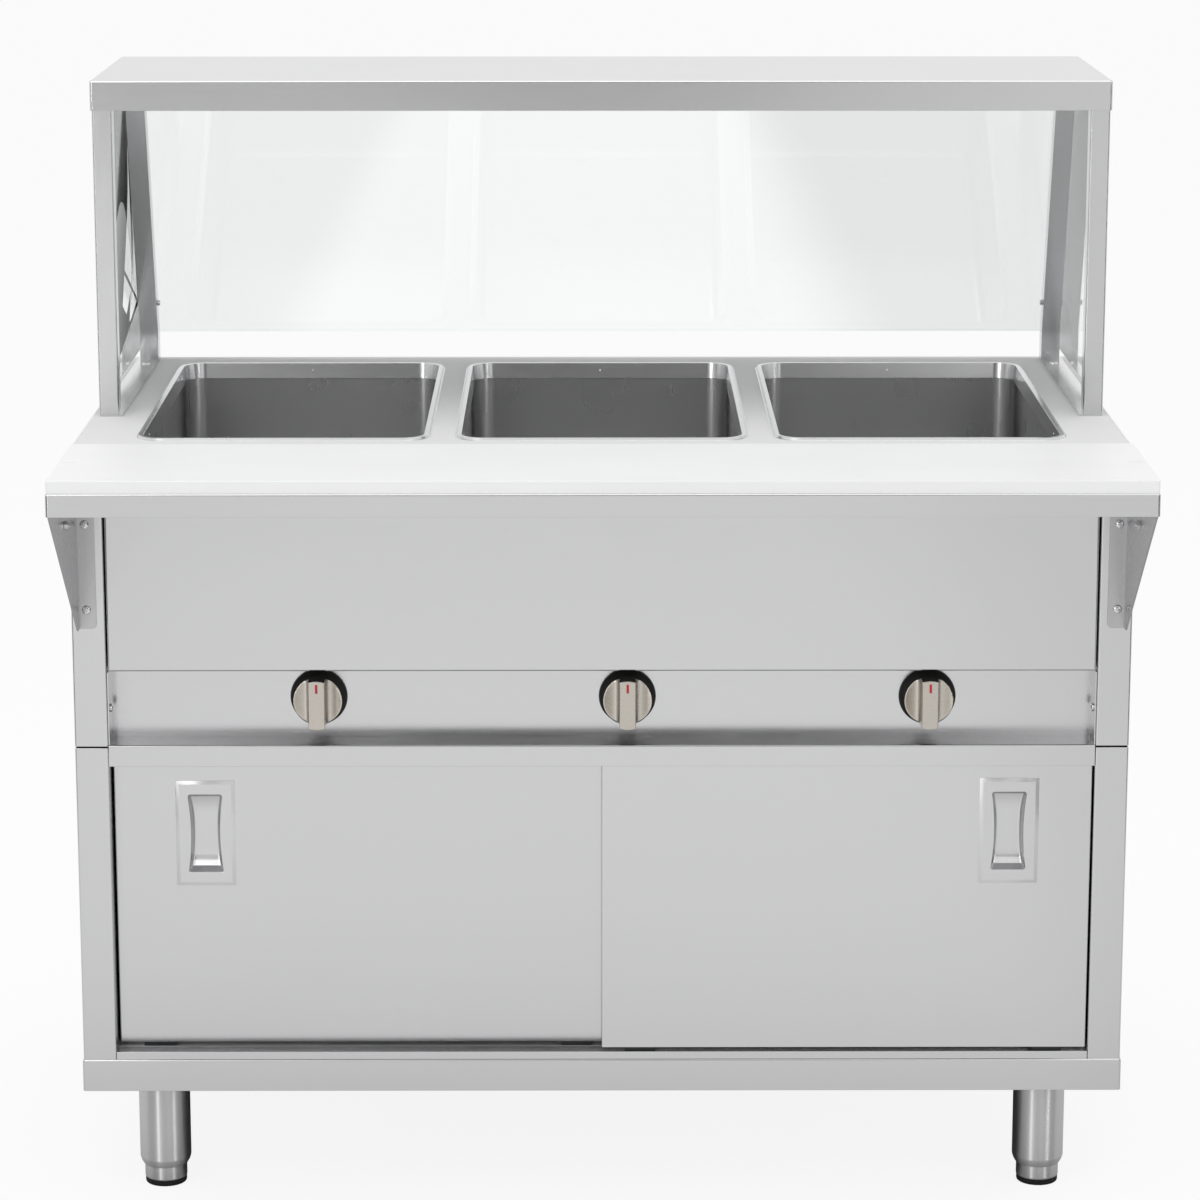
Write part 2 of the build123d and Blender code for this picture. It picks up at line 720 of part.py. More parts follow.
def leg(x, y):
    top = base_height - heavy_sheet
    start = leg_end + leg_bevel
    body = block(leg_plate, leg_plate, leg_plate_corner, top - leg_plate_thick, top, x, y)
    body += rod_z(leg_radius, x, y, start, top - leg_plate_thick)
    body += Pos(x, y, leg_end + leg_bevel / 2) * Cone(leg_mouth + mouth_rim, leg_radius, leg_bevel)
    body -= rod_z(leg_radius - leg_wall, x, y, start, top - leg_plate_thick)
    body -= rod_z(leg_mouth, x, y, leg_end - 1, start + 1)
    body += rod_z(leg_radius - leg_wall, x, y, nut_level - nut_thick, nut_level)
    return body - rod_z(stem_radius + running_gap, x, y, nut_level - nut_thick - 1, nut_level + 1)


def foot(x, y):
    body = rod_z(sleeve_radius, x, y, sleeve_end, sleeve_top)
    body = chamfer(body.edges().sort_by(Axis.Z)[0], 1.0)
    return body + rod_z(stem_radius, x, y, sleeve_top, stem_top)


def foot_tip(x, y):
    body = rod_z(sleeve_radius - tip_step, x, y, 0, sleeve_end)
    return chamfer(body.edges().sort_by(Axis.Z)[0], 1.5)


# Work shelf, cutting board and brackets
shelf_front = y_front - shelf_reach
board_front = shelf_front + board_setback


def front_shelf():
    return pan(shelf_half, shelf_front, y_front - free_gap, z_deck, shelf_lip, heavy_sheet, 3.0)


def cutting_board():
    middle = board_front + board_depth / 2
    board = block(board_width, board_depth, 3, z_deck, z_deck + board_thick, 0, middle)
    board = fillet(board.faces().sort_by(Axis.Z)[-1].edges(), 1.0)
    for side in (-1, 1):
        x = side * (board_width / 2 - slot_place[0])
        y = board_front + slot_place[1]
        board -= slab(x - slot_length / 2, x + slot_length / 2, y - slot_width / 2, y + slot_width / 2,
                      z_deck + board_thick - 1.5, z_deck + board_thick + 1)
    return board


def bracket():
    outer = bracket_outer
    top = z_deck - heavy_sheet
    face = front_plane - plate
    start = shelf_front + heavy_sheet + bend
    lip_clear = y_front - heavy_sheet - bend - free_gap
    profile = Polygon((start, top), (start, z_deck - shelf_lip), (face - bracket_toe, z_deck - bracket_foot),
                      (face, z_deck - bracket_foot), (face, z_deck - flange_top),
                      (y_front - 1, z_deck - flange_top), (y_front - 1, z_deck - shelf_lip - free_gap),
                      (lip_clear, z_deck - shelf_lip - free_gap), (lip_clear, top), align=None)
    body = extrude(Plane.YZ.offset(outer - plate) * profile, plate)
    body += slab(outer - bracket_width, outer, start + 1, y_front - 3, top - plate, top)
    flange = slab(outer - bracket_width, outer, face, front_plane, z_deck - bracket_foot, z_deck - flange_top)
    corner = flange.edges().filter_by(Axis.Y).sort_by(Axis.Z)[:2].sort_by(Axis.X)[:1]
    body += fillet(corner, flange_corner)
    for drop in flange_screws:
        body -= rod_y(screw_radius + hole_gap, bracket_screw_x, face - 5, face + 5, z_deck - drop)
    return body - rod_x(screw_radius + hole_gap, outer - 5, outer + 5, y_front - web_screw[0],
                        z_deck - web_screw[1])


# Serving guard
def front_upright():
    y = y_front + front_post_y
    x = guard_half - post / 2
    top = z_deck + guard_height - sheet
    body = block(post, post, post_radius, z_deck + plate, top, x, y + post / 2)
    return body - block(post - 2 * post_wall, post - 2 * post_wall, 0.5, z_deck, top + 1, x, y + post / 2)


def rear_line(z, deeper=0.0):
    """Front face of the leaning upright at a height over the deck, and faces behind it."""
    return y_front + rear_post_y - (z - rear_foot) * lean + deeper * math.hypot(1, lean)


def leaning(x0, x1, z0, z1, near, far):
    """Leaning bar between two depths behind the upright's front face."""
    profile = Polygon((rear_line(z0, near), z_deck + z0), (rear_line(z0, far), z_deck + z0),
                      (rear_line(z1, far), z_deck + z1), (rear_line(z1, near), z_deck + z1), align=None)
    return extrude(Plane.YZ.offset(x0) * profile, x1 - x0)


def rear_upright():
    outer = rear_post_outer
    inner = outer - post
    y = y_front + rear_post_y
    top = guard_height - sheet
    foot_tube = slab(inner, outer, y, y + post, z_deck + plate, z_deck + rear_foot)
    foot_tube -= slab(inner + post_wall, outer - post_wall, y + post_wall, y + post - post_wall,
                      z_deck, z_deck + rear_foot - post_wall)
    arm = leaning(inner, outer, rear_foot, top, 0, post)
    arm -= leaning(inner + post_wall, outer - post_wall, rear_foot - 1, top + 1, post_wall, post - post_wall)
    body = foot_tube + arm
    hole_y = rear_line(bolt_level, post / 2)
    return body - rod_x(bolt_radius + hole_gap, inner - 5, outer + 5, hole_y, z_deck + bolt_level)


def foot_strip():
    body = slab(guard_half - strip_width, guard_half, y_front + front_post_y, y_rear - strip_inset,
                z_deck, z_deck + plate)
    return body - rod_z(screw_radius + hole_gap, strip_screw_x, strip_screw_y, z_deck - 5, z_deck + 5)


def overshelf():
    across = guard_half + sheet + overshelf_side
    rear = rear_line(guard_height, post + seat_gap + glass) + overshelf_rear
    return pan(across, y_front + overshelf_front, rear, z_deck + guard_height, overshelf_lip, sheet, 3.0)


def customer_glass():
    near = post + seat_gap
    return leaning(1 - rear_post_outer, rear_post_outer - 1, rear_glass_bottom, glass_top, near, near + glass)


def side_glass():
    front = y_front + front_post_y + post
    low = z_deck + side_glass_bottom
    foot_back = y_front + rear_post_y + post
    turn = rear_foot + (rear_line(rear_foot, post) - foot_back) / lean
    profile = Polygon((front, low), (foot_back, low), (foot_back, z_deck + turn),
                      (rear_line(glass_top, post), z_deck + glass_top), (front, z_deck + glass_top),
                      align=None)
    body = extrude(Plane.YZ.offset(rear_post_outer) * profile, glass)
    hole_y = rear_line(bolt_level, post / 2)
    return body - rod_x(bolt_radius + hole_gap, rear_post_outer - 5, guard_half + 5,
                        hole_y, z_deck + bolt_level)


def glass_bolt():
    y = rear_line(bolt_level, post / 2)
    z = z_deck + bolt_level
    body = rod_x(bolt_radius, rear_post_outer - post - 3.5, rear_post_outer + glass + 1, y, z)
    body += rod_x(3.5, rear_post_outer - post - 3.5, rear_post_outer - post, y, z)
    head = rod_x(5.0, rear_post_outer + glass, rear_post_outer + glass + 2, y, z)
    return body + chamfer(head.edges().sort_by(Axis.X)[-1], 1.2)


# Screws of brackets, panel flanges and strips
def pan_head_screws():
    face = front_plane - plate
    found = []
    for drop in flange_screws:
        found.append(screw(facing(bracket_screw_x, face, z_deck - drop, (0, -1, 0)), plate + sheet))
    web_place = facing(bracket_outer, y_front - web_screw[0], z_deck - web_screw[1], (1, 0, 0))
    found.append(screw(web_place, plate))
    flange_place = facing(panel_half - sheet, flange_screw_y, flange_screw_z, (-1, 0, 0))
    found.append(screw(flange_place, panel_gap + 2 * sheet))
    found.append(screw(facing(strip_screw_x, strip_screw_y, z_deck + plate, (0, 0, 1)), plate + sheet))
    return [item for shape in found for item in both(shape)]


def main():
    os.makedirs("parts", exist_ok=True)
    names = ["left", "centre", "right"]
    save("deck", deck())
    for name, x in zip(names, well_xs):
        save("well_liner_" + name, well_liner(x))
    save("well_insulation", *[well_insulation(x) for x in well_xs])
    save("well_jackets", *[well_jacket(x) for x in well_xs])
    save("heating_elements", *[heating_element(x) for x in well_xs])
    save("heat_switches", *[heat_switch(x) for x in knob_places.values()])
    save("knob_bezels", *[knob_bezel(x) for x in knob_places.values()])
    for name, x in knob_places.items():
        save("knob_" + name, knob(x))
        save("knob_shaft_" + name, knob_shaft(x))
    save("supply_gland", supply_gland())
    save("terminal_block", terminal_block())
    save("control_panel", control_panel())
    save("apron_panel", apron_panel())
    save("mid_rail", mid_rail())
    upper = both(upper_side())
    lower = both(lower_side())
    save("upper_side_right", upper[0])
    save("upper_side_left", upper[1])
    save("lower_side_right", lower[0])
    save("lower_side_left", lower[1])
    save("upper_back", upper_back())
    save("lower_back", back_panel(base_height, z_deck - floor_level - plate))
    save("compartment_floor", compartment_floor())
    save("base_shelf", base_shelf())
    save("door_track_bottom", track_bottom())
    save("door_track_top", track_top())
    for side in ("left", "right"):
        save("door_" + side, door(side))
        save("pull_" + side, pull(side))
        places = roller_places(side)
        save("roller_frames_" + side, *[roller_frame(side, x) for x in places])
        save("roller_" + side + "_a", roller(side, places[0]))
        save("roller_" + side + "_b", roller(side, places[1]))
    save("legs", *[leg(x, y) for x in (-leg_x, leg_x) for y in leg_ys.values()])
    for row, y in leg_ys.items():
        for side, x in (("left", -leg_x), ("right", leg_x)):
            save("foot_" + row + "_" + side, foot(x, y))
            save("foot_tip_" + row + "_" + side, foot_tip(x, y))
    save("front_shelf", front_shelf())
    save("cutting_board", cutting_board())
    save("shelf_brackets", *both(bracket()))
    save("front_uprights", *both(front_upright()))
    save("rear_uprights", *both(rear_upright()))
    save("foot_strips", *both(foot_strip()))
    save("overshelf", overshelf())
    save("customer_glass", customer_glass())
    save("side_glasses", *both(side_glass()))
    save("glass_bolts", *both(glass_bolt()))
    save("pan_head_screws", *pan_head_screws())


main()
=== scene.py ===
import math

import bmesh
import bpy
from mathutils import Matrix, Vector


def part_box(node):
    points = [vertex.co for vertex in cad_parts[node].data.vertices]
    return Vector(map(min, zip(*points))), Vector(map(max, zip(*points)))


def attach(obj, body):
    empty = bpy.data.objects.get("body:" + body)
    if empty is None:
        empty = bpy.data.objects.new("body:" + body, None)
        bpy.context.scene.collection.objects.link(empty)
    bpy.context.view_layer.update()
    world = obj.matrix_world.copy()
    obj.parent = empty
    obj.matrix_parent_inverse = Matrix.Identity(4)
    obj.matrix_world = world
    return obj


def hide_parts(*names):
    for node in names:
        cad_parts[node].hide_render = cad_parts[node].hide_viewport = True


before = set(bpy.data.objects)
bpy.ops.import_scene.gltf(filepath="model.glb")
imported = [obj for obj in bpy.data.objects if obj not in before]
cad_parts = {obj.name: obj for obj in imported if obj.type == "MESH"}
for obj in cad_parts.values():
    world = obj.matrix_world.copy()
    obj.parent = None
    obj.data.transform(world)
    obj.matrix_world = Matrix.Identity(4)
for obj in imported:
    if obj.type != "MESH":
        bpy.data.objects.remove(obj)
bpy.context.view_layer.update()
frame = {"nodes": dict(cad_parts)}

bl_info = {
    "name": "Three-well steam table",
    "version": (1, 0, 0),
    "blender": (4, 5, 0),
    "location": "View3D > Sidebar > Steam table",
    "description": "Builds the visible pieces and finishes of a steam table over its fixed frame",
    "category": "Add Mesh",
}

MM = 0.001
SIDES = ("left", "right")
WELLS = ("left", "centre", "right")
CORNERS = ("front_left", "front_right", "rear_left", "rear_right")
QUARTERS = ((1, 1), (-1, 1), (-1, -1), (1, -1))
FACING_FRONT = (math.pi / 2, 0, 0)  # turns a piece's face from up to the operator
ALONG_X, ALONG_Y, ALONG_Z = (1, 0, 0), (0, 1, 0), (0, 0, 1)
WHITE = (1, 1, 1, 1)
SEED = 7  # of the random twist of screws and rivets

SHEET = 1.2 * MM
CORNER_FACETS = 14  # in each corner of a well and its rim
COLLAR_GAP = SHEET + 0.15 * MM  # from a liner's inner face to the face of the collar in it
COLLAR_LEAN, COLLAR_DROP = 2.2, 18.0  # mm, how far a collar leans in and reaches down
RIVET_INSET = 2.3 * MM  # from a liner's inner face to a rivet on the leaning collar
GLASS_GAP = 0.1 * MM
PLATE_PROUD = 2.0  # mm, how far a pull's plate stands before its door
GRIP_FRONT = 46.0  # mm, from the panel's face to the front of a grip

# Screws: grip in mm, then places in metres from the middle line, the body's front and the deck's top.
BRACKET_GRIP, BRACKET_SCREW_X, BRACKET_SCREW_DROPS = 3.2, 0.5518, (0.076, 0.169)
STRIP_SCREW_X, STRIP_SCREW_BACK = 0.546, 0.590
SHELF_GRIP, SHELF_SCREW_FRONT, SHELF_SCREW_DROP = 2.0, 0.104, 0.056
PANEL_GRIP, PANEL_SCREW_FRONT, PANEL_SCREW_DROP = 2.6, 0.0195, 0.282

# The camera fitted to the photograph's straight edges: place in metres, turn in degrees, lens in mm.
CAMERA_PLACE, CAMERA_TURN = (-0.017787, -4.481255, 1.622827), (77.5682, 0, -0.2088)
CAMERA_LENS = 122.0996
FLOOR_REACH = 30  # metres from the middle to each edge

# Cards that stand for the dimmer parts of the room, and one for painted shade under the table: name, shade,
# ends along X, Y and Z in metres.
CARDS = (
    ("front", "#E4E4E4", (-1.2, 0.6), (-7, -7), (0.45, 1.6)),
    ("front_left", "#A8A8A8", (-2.3, -1.2), (-7, -7), (0.45, 1.6)),
    ("middle", "#B4B4B4", (-0.45, 0.45), (-6.9, -6.9), (0.45, 1.6)),
    ("right", "#6A6A6A", (1.8, 1.8), (-3.9, -0.5), (0.02, 1.4)),
    ("left", "#8C8C8C", (-1.9, -1.9), (-3.6, -0.5), (0.02, 1.1)),
    ("camera", "#202020", (-0.9, 0.9), (-4.9, -4.9), (1.28, 2.6)),
    # Painted shade: a dark card under the table, which the legs mirror where the table's shadow falls.
    ("under", "#3A3A3A", (-0.4, 0.4), (0.1, 0.1), (0.0, 0.128)),
)


# ---------------------------------------------------------------- sizes and colours a user changes

def length(name, description, default):
    """A size in metres, given here in millimetres."""
    return bpy.props.FloatProperty(name=name, description=description, default=default * MM,
                                   min=0.0, subtype="DISTANCE", unit="LENGTH", precision=5)


def amount(name, description, default):
    """A plain factor from 0 to 1."""
    return bpy.props.FloatProperty(name=name, description=description, default=default,
                                   min=0.0, max=1.0, subtype="FACTOR")


def linear(text):
    """sRGB hex to linear colour."""
    parts = [int(text[i:i + 2], 16) / 255 for i in (1, 3, 5)]
    return tuple(c / 12.92 if c <= 0.04045 else ((c + 0.055) / 1.055) ** 2.4 for c in parts) + (1.0,)


def colour(name, description, text):
    """A colour, given here as sRGB hex."""
    return bpy.props.FloatVectorProperty(name=name, description=description, default=linear(text),
                                         size=4, min=0.0, max=1.0, subtype="COLOR")


class SteamTableSizes(bpy.types.PropertyGroup):
    edge_round: length("Sheet edge", "Rounding of cut sheet edges", 0.3)
    rim_width: length("Rim width", "Raised rim round each well", 6.5)
    rim_height: length("Rim height", "Height of the rim over the deck", 2.5)
    well_corner: length("Well corner", "Corner radius of a well opening", 25.0)
    floor_round: length("Floor rounding", "Radius between wall and floor of a well", 11.0)
    wall: length("Well wall", "Sheet thickness of a well", 1.0)
    rivet: length("Rivet radius", "Radius of the rivet heads inside the wells", 1.6)
    rivet_drop: length("Rivet drop", "Rivets below the top of the rim", 9.0)
    grip_width: length("Grip width", "Width of a knob's grip bar", 17.5)
    tube_radius: length("Leg radius", "Radius of a leg tube", 28.5)
    head_radius: length("Screw head", "Radius of a pan-head screw", 4.75)
    turns: bpy.props.IntProperty(name="Turned facets", description="Facets round a turned piece",
                                 default=72, min=12, max=256)


class SteamTableFinish(bpy.types.PropertyGroup):
    steel: colour("Steel", "Brushed stainless sheet", "#D0D0D1")
    # Painted shade: the wells' steel colour is darker than the deck's for the shade inside them.
    well: colour("Well steel", "Even drawn sheet of the wells", "#C2C2C2")
    satin: colour("Satin steel", "Satin stainless of posts, pulls and legs", "#D0D0D1")
    # Painted shade: the brackets' steel colour is darker than the panels' for the shade on their webs.
    bracket: colour("Bracket steel", "Duller plate of the shelf brackets", "#B9B9BA")
    nickel: colour("Knob", "Satin nickel plate on the knobs", "#C2BCB3")
    bright: colour("Fasteners", "Bright screws and bolts", "#DCDCDC")
    black: colour("Black plastic", "Rings behind the knobs", "#17181A")
    rubber: colour("Rubber", "Dark tips under the feet", "#141414")
    board: colour("Board", "White cutting board", "#F2F3F2")
    glass: colour("Glass", "Tint of the clear glass", "#FBFEFD")
    # The knob body colour is a painted dark reflection on the knob's plated sides and grip ends.
    grip: colour("Knob body", "Matt black plastic behind the knob's plated face", "#363534")
    mark: colour("Mark", "Red mark on each knob", "#B8232F")
    frame: colour("Roller frame", "Dark painted roller frames", "#3A3B3D")
    wool: colour("Mineral wool", "Insulation round the wells", "#C2AD6E")
    floor: colour("Floor", "Pale studio floor", "#FBFBFB")
    grain: amount("Grain", "How strongly the brushing shows", 0.5)


def sizes():
    return bpy.context.scene.steam_table_sizes


def finish():
    return bpy.context.scene.steam_table_finish


# ---------------------------------------------------------------- materials

def socket(sockets, key):
    """A socket by its place (i0, i1) or by its name with underscores for spaces."""
    if key[0] == "i" and key[1:].isdigit():
        return sockets[int(key[1:])]
    name = key.replace("_", " ").lower()
    return next(s for s in sockets if s.name.lower() == name)


def fill(tree, node, **inputs):
    """Sets or links a node's inputs."""
    for key, value in inputs.items():
        target = socket(node.inputs, key)
        if isinstance(value, bpy.types.NodeSocket):
            tree.links.new(value, target)
        else:
            target.default_value = value


def put(tree, kind, settings=None, **inputs):
    """Adds a node, sets its options, and sets or links its inputs."""
    node = tree.nodes.new(kind)
    for key, value in (settings or {}).items():
        setattr(node, key, value)
    fill(tree, node, **inputs)
    return node


def output(tree, kind, settings=None, **inputs):
    """The first output of a new node."""
    return put(tree, kind, settings, **inputs).outputs[0]


def shader(name):
    """A new material with a Principled shader, and its tree."""
    material = bpy.data.materials.new(name)
    material.use_nodes = True
    tree = material.node_tree
    tree.nodes.clear()
    surface = put(tree, "ShaderNodeBsdfPrincipled")
    put(tree, "ShaderNodeOutputMaterial", Surface=surface.outputs["BSDF"])
    return material, tree, surface


def own_place(tree):
    return put(tree, "ShaderNodeTexCoord").outputs["Object"]


def noise(tree, source, size, detail=2.0, rough=0.5, turn=(0, 0, 0), dims="3D"):
    """Noise whose features have this size in metres along each axis."""
    place = output(tree, "ShaderNodeMapping", Vector=source, Scale=[1 / s for s in size], Rotation=turn)
    return output(tree, "ShaderNodeTexNoise", {"noise_dimensions": dims}, Vector=place, Scale=1.0,
                  Detail=detail, Roughness=rough)


def spread(tree, value, low, high, start=0.3, end=0.7):
    """Moves a noise's middle range to the range from low to high."""
    return output(tree, "ShaderNodeMapRange", Value=value, From_Min=start, From_Max=end, To_Min=low,
                  To_Max=high)


def tinted(tree, value, shade, low, high):
    """The shade, darkened and lightened by a noise."""
    dark = tuple(c * low for c in shade[:3]) + (1.0,)
    light = tuple(min(c * high, 1.0) for c in shade[:3]) + (1.0,)
    share = spread(tree, value, 0, 1)
    return put(tree, "ShaderNodeMix", {"data_type": "RGBA"}, i0=share, i6=dark, i7=light).outputs[2]


def calc(tree, kind, first, second):
    return output(tree, "ShaderNodeMath", {"operation": kind}, i0=first, i1=second)


def vector(tree, kind, **inputs):
    return put(tree, "ShaderNodeVectorMath", {"operation": kind}, **inputs).outputs


def blend(tree, first, second, share):
    """The first value with this share and the second with the rest."""
    return calc(tree, "ADD", calc(tree, "MULTIPLY", first, share), calc(tree, "MULTIPLY", second, 1 - share))


def relief(tree, surface, height, depth, strength=1.0):
    """Bump of a real depth."""
    bump = output(tree, "ShaderNodeBump", Strength=strength, Distance=depth, Height=height)
    fill(tree, surface, Normal=bump)


def brushed(name, shade, rough, strength, line=(0.09, 0.0009), smear=0.16, stretch=0.45, spin=0.0):
    """Brushed stainless: long fine lines along the grain map, a faint wipe cloud and light rubbed scuffs."""
    material, tree, surface = shader(name)
    grain = output(tree, "ShaderNodeUVMap", {"uv_map": "grain"})
    # Real lines are about 0.3 mm apart. They are 0.9 mm here, so that they show in a full view.
    fine = noise(tree, grain, (*line, 1), 3.0, 0.6, dims="2D")
    cloud = noise(tree, grain, (smear, smear * 0.7, 1), dims="2D")
    rub = noise(tree, grain, (0.03, 0.004, 1), dims="2D")
    scuff = spread(tree, rub, 0.0, 0.06 * strength, 0.66, 0.74)
    edge = 0.03 * strength
    haze = calc(tree, "ADD", spread(tree, fine, rough - edge, rough + 0.05 * strength),
                calc(tree, "ADD", spread(tree, cloud, -0.008, 0.012), scuff))
    along = output(tree, "ShaderNodeTangent", {"direction_type": "UV_MAP", "uv_map": "grain"})
    base = tinted(tree, blend(tree, fine, cloud, 0.6), shade, 1 - edge, 1 + edge * 0.6)
    fill(tree, surface, Base_Color=base, Roughness=haze, Metallic=1.0, Anisotropic=stretch,
         Anisotropic_Rotation=0.25 + spin, Tangent=along)
    relief(tree, surface, fine, 0.000008, 0.4 * strength)
    return material


def satin(name, shade, rough):
    """Satin metal: fine bead-like grain and a faint cloud."""
    material, tree, surface = shader(name)
    place = own_place(tree)
    fine = noise(tree, place, (0.0008,) * 3, 2.0, 0.6)
    cloud = noise(tree, place, (0.05, 0.05, 0.03), 3.0)
    haze = calc(tree, "ADD", spread(tree, fine, rough - 0.03, rough + 0.04),
                spread(tree, cloud, -0.01, 0.012))
    base = tinted(tree, blend(tree, fine, cloud, 0.4), shade, 0.975, 1.02)
    fill(tree, surface, Base_Color=base, Roughness=haze, Metallic=1.0)
    relief(tree, surface, fine, 0.000004, 0.6)
    return material


def moulded(name, shade, rough, grain=0.0006, depth=0.00002, sheen=0.0, gloss=0.5):
    """Moulded plastic or rubber: fine texture, soft colour drift and scuffs."""
    material, tree, surface = shader(name)
    place = own_place(tree)
    fine = noise(tree, place, (grain,) * 3, 2.0, 0.6)
    drift = noise(tree, place, (0.03,) * 3, 3.0, 0.6)
    haze = calc(tree, "ADD", spread(tree, fine, rough - 0.05, rough + 0.05), spread(tree, drift, -0.06, 0.06))
    fill(tree, surface, Base_Color=tinted(tree, drift, shade, 0.85, 1.15), Roughness=haze, Sheen_Weight=sheen,
         Specular_IOR_Level=gloss)
    relief(tree, surface, fine, depth)
    return material


def board_white(name, shade):
    """Cutting board: polyethylene with a milled grain, faint knife marks and a soft translucency."""
    material, tree, surface = shader(name)
    place = own_place(tree)
    # The milled texture is about 0.7 mm, as on a planed board.
    fine = noise(tree, place, (0.0015, 0.0007, 0.0007), 2.0, 0.6)
    drift = noise(tree, place, (0.12, 0.08, 0.08), 3.0)
    cuts = noise(tree, place, (0.0006, 0.03, 0.03), 1.0, turn=(0, 0, 0.7))
    knife = spread(tree, cuts, 0.0, 1.0, 0.70, 0.74)
    haze = calc(tree, "ADD", spread(tree, fine, 0.38, 0.5), calc(tree, "MULTIPLY", knife, 0.1))
    fill(tree, surface, Base_Color=tinted(tree, drift, shade, 0.985, 1.01), Roughness=haze,
         Subsurface_Weight=0.08, Subsurface_Radius=(0.004, 0.004, 0.004))
    height = calc(tree, "SUBTRACT", calc(tree, "MULTIPLY", fine, 0.4), calc(tree, "MULTIPLY", knife, 0.6))
    relief(tree, surface, height, 0.00004)
    return material


def clear_glass(name, shade):
    """Clear polished glass, with faint wipe marks in its gloss."""
    material, tree, surface = shader(name)
    wipes = noise(tree, own_place(tree), (0.2, 0.2, 0.05), 3.0, turn=(0, 0.5, 0))
    fill(tree, surface, Roughness=spread(tree, wipes, 0.0, 0.012, 0.55, 0.75), Base_Color=shade,
         Transmission_Weight=1.0, IOR=1.5)
    return material


def mineral_wool(name, shade):
    """Mineral wool: matted fibres, lighter where they stand out."""
    material, tree, surface = shader(name)
    place = own_place(tree)
    fibre = noise(tree, place, (0.004, 0.0012, 0.0012), 4.0, 0.7, (0, 0, 0.5))
    tuft = noise(tree, place, (0.02,) * 3, 3.0, 0.6)
    tone = blend(tree, fibre, tuft, 0.6)
    fill(tree, surface, Base_Color=tinted(tree, tone, shade, 0.6, 1.25), Roughness=0.95, Sheen_Weight=0.2)
    relief(tree, surface, tone, 0.001)
    return material


def make_materials():
    """All finishes, by the name of the record's slot or a variant of it."""
    f = finish()
    return {
        # Sheet: a soft grey shine with fine lines along it.
        "stainless": brushed("brushed_stainless", f.steel, 0.20, f.grain),
        # Square tubes: the same steel, brushed along their length.
        "posts": brushed("brushed_posts", f.satin, 0.20, f.grain, (0.06, 0.0008), 0.08),
        # Brackets: duller plate, coloured darker than the panels beside it as painted shade on their
        # side-facing webs.
        "brackets": brushed("brushed_brackets", f.bracket, 0.24, f.grain, (0.06, 0.0008), 0.08),
        # Wells: drawn sheet with a soft satin that smears the light up and down its walls, coloured darker
        # than the deck as painted shade in the deep wells.
        "wells": brushed("drawn_wells", f.well, 0.28, f.grain * 0.04, (0.08, 0.0015), 0.09, 0.7, 0.25),
        # Door pulls: satin with a soft bright roll.
        "satin_metal": brushed("satin_pulls", f.satin, 0.25, f.grain * 0.25, (0.03, 0.0006), 0.04),
        # Legs and feet: tube polished round its axis, which draws each light out into an upright streak.
        "spun": brushed("spun_legs", f.satin, 0.34, f.grain * 0.5, (0.0009, 0.03), 0.05, 0.85, 0.25),
        # Knobs: warm satin nickel plate.
        "knob_nickel": satin("satin_nickel", f.nickel, 0.28),
        # Rings behind the knobs: black moulded plastic that takes a soft gloss.
        "dark_plastic": moulded("black_plastic", f.black, 0.32),
        # Knob sides and grip ends: matt black, with little shine even at a flat angle, a painted dark
        # reflection on the plated metal sides.
        "knob_black": moulded("knob_black", f.grip, 0.6, gloss=0.0),
        # Element tube: dull metal, browned a little by heat.
        "tube_steel": satin("element_tube", linear("#8C857C"), 0.45),
        # Screws and bolts: bright cold-formed steel.
        "fastener_steel": satin("bright_fasteners", f.bright, 0.17),
        # Insulation: dry matted wool, yellow and without shine.
        "mineral_wool": mineral_wool("mineral_wool", f.wool),
        # Roller frames: dark grey paint.
        "roller_frame": moulded("painted_frames", f.frame, 0.4),
        # Rollers: black nylon.
        "roller_nylon": moulded("nylon_rollers", linear("#2A2A2B"), 0.42),
        # Tips: matte rubber with a dusty sheen.
        "tip_rubber": moulded("rubber_tips", f.rubber, 0.75, 0.0008, 0.00004, 0.03, 0.3),
        # Board: milky white plastic, a little softer in its shadows than paint.
        "board_white": board_white("white_board", f.board),
        # Glass: clear, with a trace of green.
        "clear_glass": clear_glass("clear_glass", f.glass),
        # Mark on the grip bar: red enamel laid in a shallow slot.
        "mark": moulded("red_enamel", f.mark, 0.35, 0.001, 0.00001),
    }


def material(key):
    """The finish of that name, made once for all pieces."""
    names = bpy.context.scene.get("steam_table_materials")
    if names is None:
        made = make_materials()
        bpy.context.scene["steam_table_materials"] = {k: m.name for k, m in made.items()}
        names = bpy.context.scene["steam_table_materials"]
    return bpy.data.materials[names[key]]


# ---------------------------------------------------------------- meshes

def to_object(name, mesh):
    made = bpy.data.objects.new(name, mesh)
    bpy.context.scene.collection.objects.link(made)
    return made


def from_bmesh(name, bm):
    mesh = bpy.data.meshes.new(name)
    bm.to_mesh(mesh)
    bm.free()
    return to_object(name, mesh)


def dropped(*objects):
    """Takes working objects out of the scene."""
    for item in objects:
        mesh = item.data
        bpy.data.objects.remove(item)
        if mesh is not None and mesh.users == 0:
            bpy.data.meshes.remove(mesh)


def baked(source, name):
    """The object with its modifiers worked in, as a plain mesh object at the origin."""
    bpy.context.view_layer.update()
    graph = bpy.context.evaluated_depsgraph_get()
    mesh = bpy.data.meshes.new_from_object(source.evaluated_get(graph), preserve_all_data_layers=True,
                                           depsgraph=graph)
    dropped(source)
    mesh.name = name
    return to_object(name, mesh)


def merged_copy(name):
    """A welded copy of a CAD node's mesh, with its flat faces joined."""
    bm = bmesh.new()
    bm.from_mesh(frame["nodes"][name].data)
    bmesh.ops.remove_doubles(bm, verts=bm.verts, dist=2e-6)
    bmesh.ops.dissolve_limit(bm, angle_limit=math.radians(0.6), verts=bm.verts, edges=bm.edges)
    return bm


